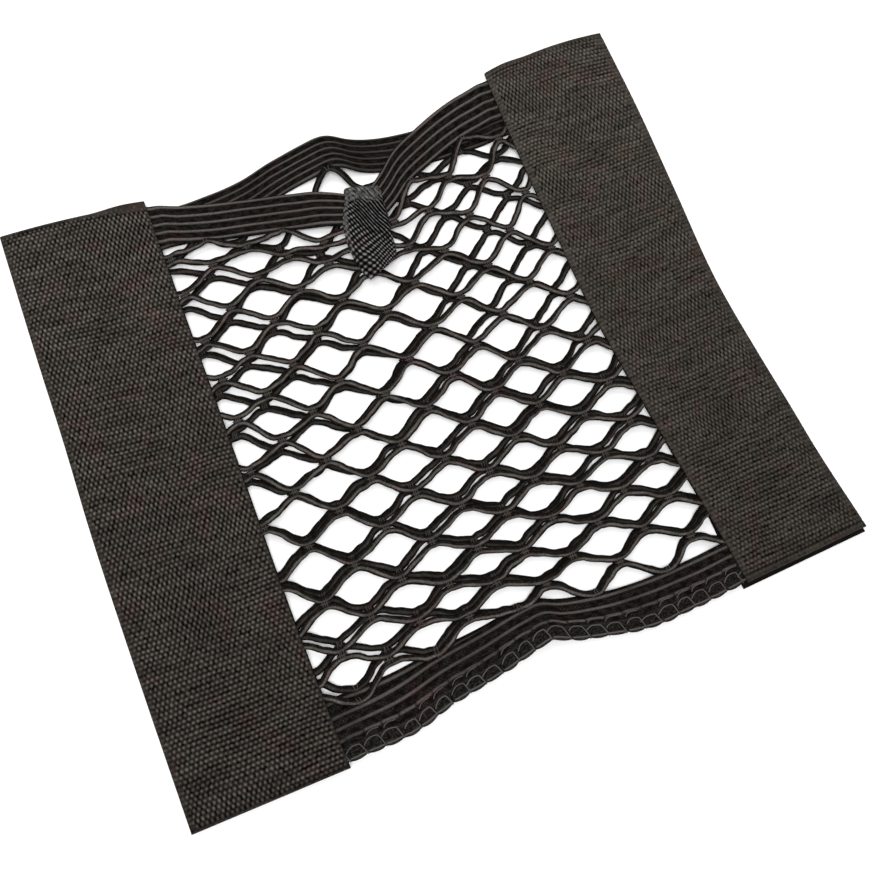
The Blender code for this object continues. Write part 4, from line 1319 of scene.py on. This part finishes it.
# The painted light falloff along the strips, from the closed edge to the mouth
PAINTED_LIGHT_FALLOFF = (-0.14, 0.14, 0.8, 1.12)
CORD_KNIT_SHADE, RIB_KNIT_SHADE = (0.3, 0.7, 0.65, 1.35), (0.3, 0.7, 0.75, 1.25)
# How far painted shade darkens a hem's groove towards the pits' tone, and how rough the cloth is from its
# pits to its crowns
GROOVE_PAINTED_SHADE = 0.55
WEBBING_ROUGHNESS = (0.0, 1.0, 0.92, 0.6)
# The casts of the patches, and how far aside the green ones are read from the brown ones
BROWN_CAST, GREEN_CAST = (1.16, 0.95, 0.97, 1.0), (0.96, 1.0, 0.93, 1.0)
GREEN_SHIFT = (0.31, 0.17, 0.0)

# The cord: its two mottled tones, the painted shade on its sides and underside, the painted shade of the back
# layer, the painted highlight along its welt, and its threads
CORD_DARK, CORD_LIGHT = grey(0.0025, 0.2), grey(0.013, 0.16)
CORD_UNDERSIDE_SHADE, CORD_BACK_LAYER_SHADE = grey(0.0015, 0.2), grey(0.002, 0.15)
CORD_WELT_HIGHLIGHT, CORD_THREAD = grey(0.075, 0.1), grey(0.055, 0.1)
WELT_HIGHLIGHT_FROM_TO = (0.9, 1.06)
WELT_HIGHLIGHT_PATCHES = (0.35, 0.6, 0.55, 1.15)

# The bands: the ground and its stitches, the ribs' dull tone and their painted highlight, the hem with the
# painted highlight on its lip, and the threads
RIB_GROUND, RIB_STITCHES = grey(0.0025, 0.15), grey(0.018, 0.12)
RIB_DULL, RIB_HIGHLIGHT = grey(0.012, 0.12), grey(0.075, 0.1)
HEM_DARK, HEM_LIGHT, HEM_LIP_HIGHLIGHT = grey(0.003), grey(0.016, 0.1), grey(0.06, 0.06)
RIB_THREAD = grey(0.08, 0.06)
# How long a stitch of the ground is, and how many lanes of stitches there are to a rib
RIB_STITCH_LONG, RIB_STITCH_LANES = 1.5, 3.0


def new_group(name, inputs, outputs):
    """An empty shader node group with its sockets, its graph and its input and output nodes."""
    tree = bpy.data.node_groups.new(name, "ShaderNodeTree")
    for label, kind in inputs:
        tree.interface.new_socket(name=label, in_out="INPUT", socket_type=kind)
    for label, kind in outputs:
        tree.interface.new_socket(name=label, in_out="OUTPUT", socket_type=kind)
    graph = Graph(tree)
    return tree, graph, graph.node("NodeGroupInput").outputs, graph.node("NodeGroupOutput").inputs


FLOAT, VECTOR, COLOUR = "NodeSocketFloat", "NodeSocketVector", "NodeSocketColor"


def new_weave_group(name):
    """An empty group for a weave: given a place and its finish zones, it puts out the height there."""
    given = [("Place", VECTOR), ("Lines", FLOAT), ("Plain", FLOAT), ("Unevenness", FLOAT)]
    return new_group(name, given, [("Crown", FLOAT)])


def uneven_weave(graph, given, relief, patches):
    """A relief between -1 and 1 as heights round 0.5, made uneven in patches."""
    uneven = graph.math("SUBTRACT", graph.noise(given["Place"], patches), 0.5)
    uneven = graph.times(uneven, given["Unevenness"])
    return graph.math("ADD", graph.line(relief, 0.5, 0.5), uneven)


def make_float_rows():
    """Group: the height of a weave from 0 in its pits to 1 on its floats, as weave_relief gives it."""
    tree, graph, given, made = new_weave_group("float_rows")
    u, v, _ = graph.split(given["Place"])
    floats = graph.times(graph.wave(u), graph.wave(v))
    floats = graph.times(floats, graph.line(given["Lines"], -LINES_QUIET, 1.0))
    floats = graph.times(floats, graph.line(given["Plain"], -PLAIN_QUIET, 1.0))
    rows = graph.times(graph.wave(v, 0.5), graph.line(given["Lines"], ROW_LINES_HIGH, ROW_HIGH))
    rows = graph.times(rows, graph.line(given["Plain"], -PLAIN_ROWS_QUIET, 1.0))
    raised = uneven_weave(graph, given, graph.math("ADD", floats, rows), 1.4)
    graph.feed(made["Crown"], graph.math("MAXIMUM", graph.math("MINIMUM", raised, 1.0), 0.0))
    return tree


def make_dot_rows():
    """Group: the height of the tab's weave from 0 in its pits to 1 on its yarns.

    It is near to dot_relief, but here the unbroken yarns keep a trace of dots and come out darker.
    """
    tree, graph, given, made = new_weave_group("dot_rows")
    u, v, _ = graph.split(given["Place"])
    across_yarn = graph.times(graph.wave(v), graph.line(given["Lines"], 0.35, 0.5))
    along_yarn = graph.times(graph.wave(u), graph.line(given["Lines"], -0.42, 0.5))
    relief = graph.math("ADD", across_yarn, along_yarn)
    relief = graph.math("SUBTRACT", relief, graph.times(given["Lines"], 0.3))
    relief = graph.times(relief, graph.line(given["Plain"], -PLAIN_QUIET, 1.0))
    raised = uneven_weave(graph, given, relief, 1.1)
    # Plain places are a little fluffy and light
    raised = graph.line(given["Plain"], 0.2, raised)
    graph.feed(made["Crown"], graph.math("MAXIMUM", graph.math("MINIMUM", raised, 1.0), 0.0))
    return tree


def make_tint_patches():
    """Group: faint patches of brown and of green over a black cloth."""
    tree, graph, given, made = new_group(
        "tint_patches",
        [("Colour", COLOUR), ("Place", VECTOR), ("Patches per Metre", FLOAT), ("Strength", FLOAT)],
        [("Colour", COLOUR)],
    )
    shift = graph.node("ShaderNodeVectorMath", operation="ADD")
    graph.feed(shift.inputs[0], given["Place"])
    shift.inputs[1].default_value = GREEN_SHIFT
    elsewhere = shift.outputs["Vector"]
    red = graph.between(graph.noise(given["Place"], given["Patches per Metre"], 3.0), 0.5, 0.72)
    green = graph.between(graph.noise(elsewhere, given["Patches per Metre"], 3.0), 0.55, 0.75)
    red = graph.times(red, given["Strength"])
    green = graph.times(green, given["Strength"])
    browned = graph.mix(red, given["Colour"], graph.shade(given["Colour"], BROWN_CAST))
    greened = graph.mix(green, browned, graph.shade(browned, GREEN_CAST))
    graph.feed(made["Colour"], greened)
    return tree


def make_fine_yarn():
    """Group: fine fibres as a height. They run along the coordinate that Place counts more slowly."""
    tree, graph, given, made = new_group(
        "fine_yarn", [("Place", VECTOR), ("Scale", FLOAT)], [("Height", FLOAT)]
    )
    graph.feed(made["Height"], graph.noise(given["Place"], given["Scale"], 3.0, 0.6))
    return tree


def new_material(name, roughness, specular, sheen):
    """A cloth material with its even values on the shader itself, its graph and its shader."""
    material = bpy.data.materials.new(name)
    material.use_nodes = True
    shader = material.node_tree.nodes["Principled BSDF"]
    shader.inputs["Roughness"].default_value = roughness
    shader.inputs["Specular IOR Level"].default_value = specular
    shader.inputs["Sheen Weight"].default_value = sheen
    shader.inputs["Sheen Roughness"].default_value = 0.5
    return material, Graph(material.node_tree), shader


def use_group(graph, tree, **values):
    made = graph.node("ShaderNodeGroup", node_tree=tree)
    for name, value in values.items():
        graph.feed(made.inputs[name.replace("_", " ")], value)
    return made.outputs


def fibres(graph, groups, place, x, y):
    """The height of fine fibres over the pattern, which counts x and y at the given paces."""
    return use_group(graph, groups["fine_yarn"], Place=graph.stretch(place, x, y), Scale=1.0)["Height"]


def add_bump(graph, shader, height, distance, strength=1.0):
    made = graph.node("ShaderNodeBump")
    made.inputs["Strength"].default_value = strength
    made.inputs["Distance"].default_value = distance
    graph.feed(made.inputs["Height"], height)
    graph.feed(shader.inputs["Normal"], made.outputs["Normal"])


def pattern_place(graph):
    return graph.node("ShaderNodeUVMap", uv_map="Pattern").outputs["UV"]


def object_place(graph):
    return graph.node("ShaderNodeTexCoord").outputs["Object"]


def finish_zones(graph):
    """The finish zones as three values."""
    return graph.split(graph.node("ShaderNodeAttribute", attribute_name="Zones").outputs["Vector"])


def tint(graph, groups, colour, patches, strength):
    """The colour with faint brown and green patches over it."""
    return use_group(
        graph,
        groups["tint_patches"],
        Colour=colour,
        Place=object_place(graph),
        Patches_per_Metre=patches,
        Strength=strength,
    )["Colour"]


def make_webbing_material(groups, name, weave, yarn):
    """Woven cloth: painted shade in its pits, a middle tone, and a painted highlight on the crowns of its
    floats.
    """
    material, graph, shader = new_material(name, 0.8, 0.02, 0.004)
    place = pattern_place(graph)
    lines, plain, mark = finish_zones(graph)
    pit, middle = grey(yarn.pit, yarn.warm), grey(yarn.middle, yarn.warm)
    crown = grey(yarn.crown, CROWN_WARM * yarn.warm)
    raised = use_group(
        graph, groups[weave], Place=place, Lines=lines, Plain=plain, Unevenness=0.75
    )["Crown"]
    fibre = fibres(graph, groups, place, 9.0, 1.6)
    # Painted shade in the pits and a painted highlight on the crowns, with the yarn's middle tone between
    # them
    colour = graph.mix(graph.between(raised, *PIT_TO_MIDDLE), pit, middle)
    colour = graph.mix(graph.between(raised, *MIDDLE_TO_CROWN), colour, crown)
    colour = graph.shade(colour, graph.between(fibre, *FIBRE_SHADE))
    cross_bands = graph.streaks(place, 0.09, 0.8, 3.0, 0.6)
    colour = graph.shade(colour, graph.between(cross_bands, *CROSS_BAND_SHADE))
    # Painted light falloff: the cloth is darker towards the closed edge and lighter towards the mouth of the
    # pocket
    towards_mouth = graph.split(object_place(graph))[1]
    colour = graph.shade(colour, graph.between(towards_mouth, *PAINTED_LIGHT_FALLOFF))
    if yarn.thread:
        colour = graph.mix(mark, colour, grey(yarn.thread, yarn.warm))
    else:
        # On the strips, painted shade darkens the groove beside each hem towards the pits' tone
        colour = graph.mix(graph.times(mark, GROOVE_PAINTED_SHADE), colour, pit)
    graph.feed(shader.inputs["Base Color"], tint(graph, groups, colour, 95.0, 1.0))
    graph.feed(shader.inputs["Roughness"], graph.between(raised, *WEBBING_ROUGHNESS))
    add_bump(graph, shader, graph.line(fibre, 0.3, raised), 0.00025)
    return material


def make_cord_material(groups):
    """Knitted elastic cord: dark, with a painted highlight along its upper side, painted shade on its sides
    and underside and over the back layer, and a fine knit.
    """
    material, graph, shader = new_material("elastic_cord_knit", 0.75, 0.025, 0.004)
    place = pattern_place(graph)
    near_knot, dull, thread = finish_zones(graph)
    turn = graph.split(place)[1]
    knit = fibres(graph, groups, place, 1.6, 9.0)
    mottle = graph.streaks(place, 0.5, 3.0, 3.0, 0.6)
    # A painted highlight along the cord's upper side, weaker at its knots, broken into patches and faint on
    # the back layer
    around = graph.wave(graph.math("SUBTRACT", turn, WELT_HIGHLIGHT_TURN))
    around = graph.math("ADD", around, graph.times(knit, 0.1))
    welt_highlight = graph.between(around, *WELT_HIGHLIGHT_FROM_TO)
    welt_highlight = graph.times(welt_highlight, graph.line(near_knot, -0.35, 1.0))
    welt_highlight = graph.times(welt_highlight, graph.between(graph.streaks(place, 0.12, 0.0), *WELT_HIGHLIGHT_PATCHES))
    welt_highlight = graph.times(welt_highlight, graph.line(dull, -0.7, 1.0))
    colour = graph.mix(graph.between(mottle, 0.35, 0.7), CORD_DARK, CORD_LIGHT)
    # Painted shade on the cord's sides and underside
    colour = graph.mix(graph.between(around, -0.2, 0.5), CORD_UNDERSIDE_SHADE, colour)
    # Painted shade over the back layer's cords
    colour = graph.mix(graph.times(dull, 0.45), colour, CORD_BACK_LAYER_SHADE)
    colour = graph.mix(welt_highlight, colour, CORD_WELT_HIGHLIGHT)
    colour = graph.shade(colour, graph.between(knit, *CORD_KNIT_SHADE))
    colour = graph.mix(thread, colour, CORD_THREAD)
    graph.feed(shader.inputs["Base Color"], tint(graph, groups, colour, 90.0, 1.0))
    graph.feed(shader.inputs["Roughness"], graph.between(knit, 0.2, 0.8, 0.88, 0.66))
    add_bump(graph, shader, knit, 0.00025, 0.8)
    return material


def make_rib_material(groups):
    """Ribbed elastic: smooth ridges with a painted highlight, and between them a dark ground of small
    stitches.
    """
    material, graph, shader = new_material("ribbed_elastic_knit", 0.75, 0.025, 0.004)
    place = pattern_place(graph)
    painted_highlight, hem, thread = finish_zones(graph)
    run, ribs, _ = graph.split(place)
    knit = fibres(graph, groups, place, 0.9, 7.0)
    from_rib = graph.math("ABSOLUTE", graph.math("SUBTRACT", graph.math("FRACT", ribs), 0.5))
    ridge = graph.between(graph.line(knit, 0.05, from_rib), 0.22, 0.09)
    stitch = graph.times(graph.wave(run, RIB_STITCH_LONG), graph.wave(ribs, 1.0 / RIB_STITCH_LANES))
    stitch = graph.line(stitch, 0.5, 0.5)
    patchy = graph.between(graph.streaks(place, 0.35, 2.5), 0.35, 0.65)
    ground = graph.mix(graph.times(stitch, patchy), RIB_GROUND, RIB_STITCHES)
    # The ridges go from their own dull tone to a painted highlight, as strong as the first zone says
    colour = graph.mix(ridge, ground, graph.mix(painted_highlight, RIB_DULL, RIB_HIGHLIGHT))
    hem_colour = graph.mix(graph.between(knit, 0.4, 0.65), HEM_DARK, HEM_LIGHT)
    # Within the hem, a painted highlight lies along the lip
    colour = graph.mix(hem, colour, graph.mix(painted_highlight, hem_colour, HEM_LIP_HIGHLIGHT))
    colour = graph.shade(colour, graph.between(knit, *RIB_KNIT_SHADE))
    colour = graph.mix(thread, colour, RIB_THREAD)
    graph.feed(shader.inputs["Base Color"], tint(graph, groups, colour, 70.0, 1.0))
    graph.feed(shader.inputs["Roughness"], graph.between(ridge, 0.0, 1.0, 0.9, 0.66))
    add_bump(graph, shader, graph.line(stitch, 0.5, knit), 0.00022, 0.8)
    return material


def make_floor_material():
    """Plain pale paper, which can be looked through from below."""
    material = bpy.data.materials.new("pale_paper")
    material.use_nodes = True
    graph = Graph(material.node_tree)
    shader = material.node_tree.nodes["Principled BSDF"]
    shader.inputs["Base Color"].default_value = PAPER
    shader.inputs["Roughness"].default_value = 0.95
    shader.inputs["Specular IOR Level"].default_value = 0.1
    clear = graph.node("ShaderNodeBsdfTransparent")
    mixed = graph.node("ShaderNodeMixShader")
    graph.feed(mixed.inputs[0], graph.node("ShaderNodeNewGeometry").outputs["Backfacing"])
    graph.feed(mixed.inputs[1], shader.outputs[0])
    graph.feed(mixed.inputs[2], clear.outputs[0])
    graph.feed(material.node_tree.nodes["Material Output"].inputs["Surface"], mixed.outputs[0])
    return material


# ---------------------------------------------------------------- the stage


def build_stage():
    """The floor, the even light of the surroundings and the soft lights."""
    half, low = FLOOR_HALF, -FLOOR_LOW
    corners = [(-half, -half, low), (half, -half, low), (half, half, low), (-half, half, low)]
    data = bpy.data.meshes.new("floor")
    data.from_pydata(corners, [], [(0, 1, 2, 3)])
    data.materials.append(make_floor_material())
    floor = bpy.data.objects.new("floor", data)
    bpy.context.scene.collection.objects.link(floor)
    world = bpy.data.worlds.new("studio")
    world.use_nodes = True
    background = world.node_tree.nodes["Background"]
    background.inputs["Color"].default_value = (1.0, 1.0, 1.0, 1.0)
    background.inputs["Strength"].default_value = WORLD_LIGHT
    bpy.context.scene.world = world
    for lamp in LAMPS:
        light = bpy.data.lights.new(lamp.name, "AREA")
        light.size = lamp.size
        light.energy = lamp.power
        obj = bpy.data.objects.new(lamp.name, light)
        obj.location = lamp.place
        obj.rotation_euler = (-Vector(lamp.place)).to_track_quat("-Z", "Y").to_euler()
        bpy.context.scene.collection.objects.link(obj)


def build_camera():
    """The camera at the photograph's viewing angle."""
    data = bpy.data.cameras.new("photo_camera")
    data.lens = CAMERA_LENS
    data.sensor_width = CAMERA_SENSOR
    data.clip_start, data.clip_end = CAMERA_NEAR, CAMERA_FAR
    camera = bpy.data.objects.new("photo_camera", data)
    right = np.array(CAMERA_RIGHT)
    up = -np.array(CAMERA_DOWN)
    up -= right * (right @ up)
    right /= np.linalg.norm(right)
    up /= np.linalg.norm(up)
    back = np.cross(right, up)
    matrix = Matrix.Identity(4)
    for row in range(3):
        matrix[row][0], matrix[row][1], matrix[row][2] = right[row], up[row], back[row]
        matrix[row][3] = CAMERA_PLACE[row] * MM
    camera.matrix_world = matrix
    bpy.context.scene.collection.objects.link(camera)
    bpy.context.scene.camera = camera


def main():
    bpy.context.scene.view_settings.view_transform = "Standard"
    build_camera()
    build_stage()
    groups = {
        "float_rows": make_float_rows(),
        "dot_rows": make_dot_rows(),
        "tint_patches": make_tint_patches(),
        "fine_yarn": make_fine_yarn(),
    }
    cloths = {
        -1: make_webbing_material(groups, "left_strip_cloth", "float_rows", LEFT_YARN),
        1: make_webbing_material(groups, "right_strip_cloth", "float_rows", RIGHT_YARN),
    }
    tab_cloth = make_webbing_material(groups, "tab_cloth", "dot_rows", TAB_YARN)
    tape = make_webbing_material(groups, "hook_strip_cloth", "float_rows", TAPE_YARN)
    cord = make_cord_material(groups)
    ribbed = make_rib_material(groups)
    for side, word in ((-1, "left"), (1, "right")):
        build_hook_strip(side, word, tape)
        build_woven_strip(side, word, cloths[side])
    back_bottom = back_bottom_rows()
    back_mouth = BandForm(BACK_TOP, back_height, BACK_RIBS)
    back_foot = BandForm(back_bottom, back_height, FOOT_RIBS)
    front_mouth = BandForm(FRONT_TOP, front_height, FACE_RIBS)
    front_foot = BandForm(FRONT_BOTTOM, front_height, FOOT_RIBS, hemmed=True)
    build_band("back_mouth_band", "back_top_band", back_mouth, ribbed, back_mouth_rib_highlight)
    build_band("back_foot_band", "back_bottom_band", back_foot, ribbed, foot_rib_highlight)
    build_band("front_mouth_band", "front_top_band", front_mouth, ribbed, front_mouth_rib_highlight)
    build_band("front_foot_band", "front_bottom_band", front_foot, ribbed, foot_rib_highlight)
    back = Lattice(BACK_ROWS, BACK_TOP, back_bottom)
    front = Lattice(FRONT_ROWS, FRONT_TOP, FRONT_BOTTOM, FRONT_PULLS)
    build_net("back_cord_net", "back_net", back, back_height, BACK_CORDS, cord)
    build_net("front_cord_net", "front_net", front, front_height, FRONT_CORDS, cord)
    build_tab(tab_cloth)


main()
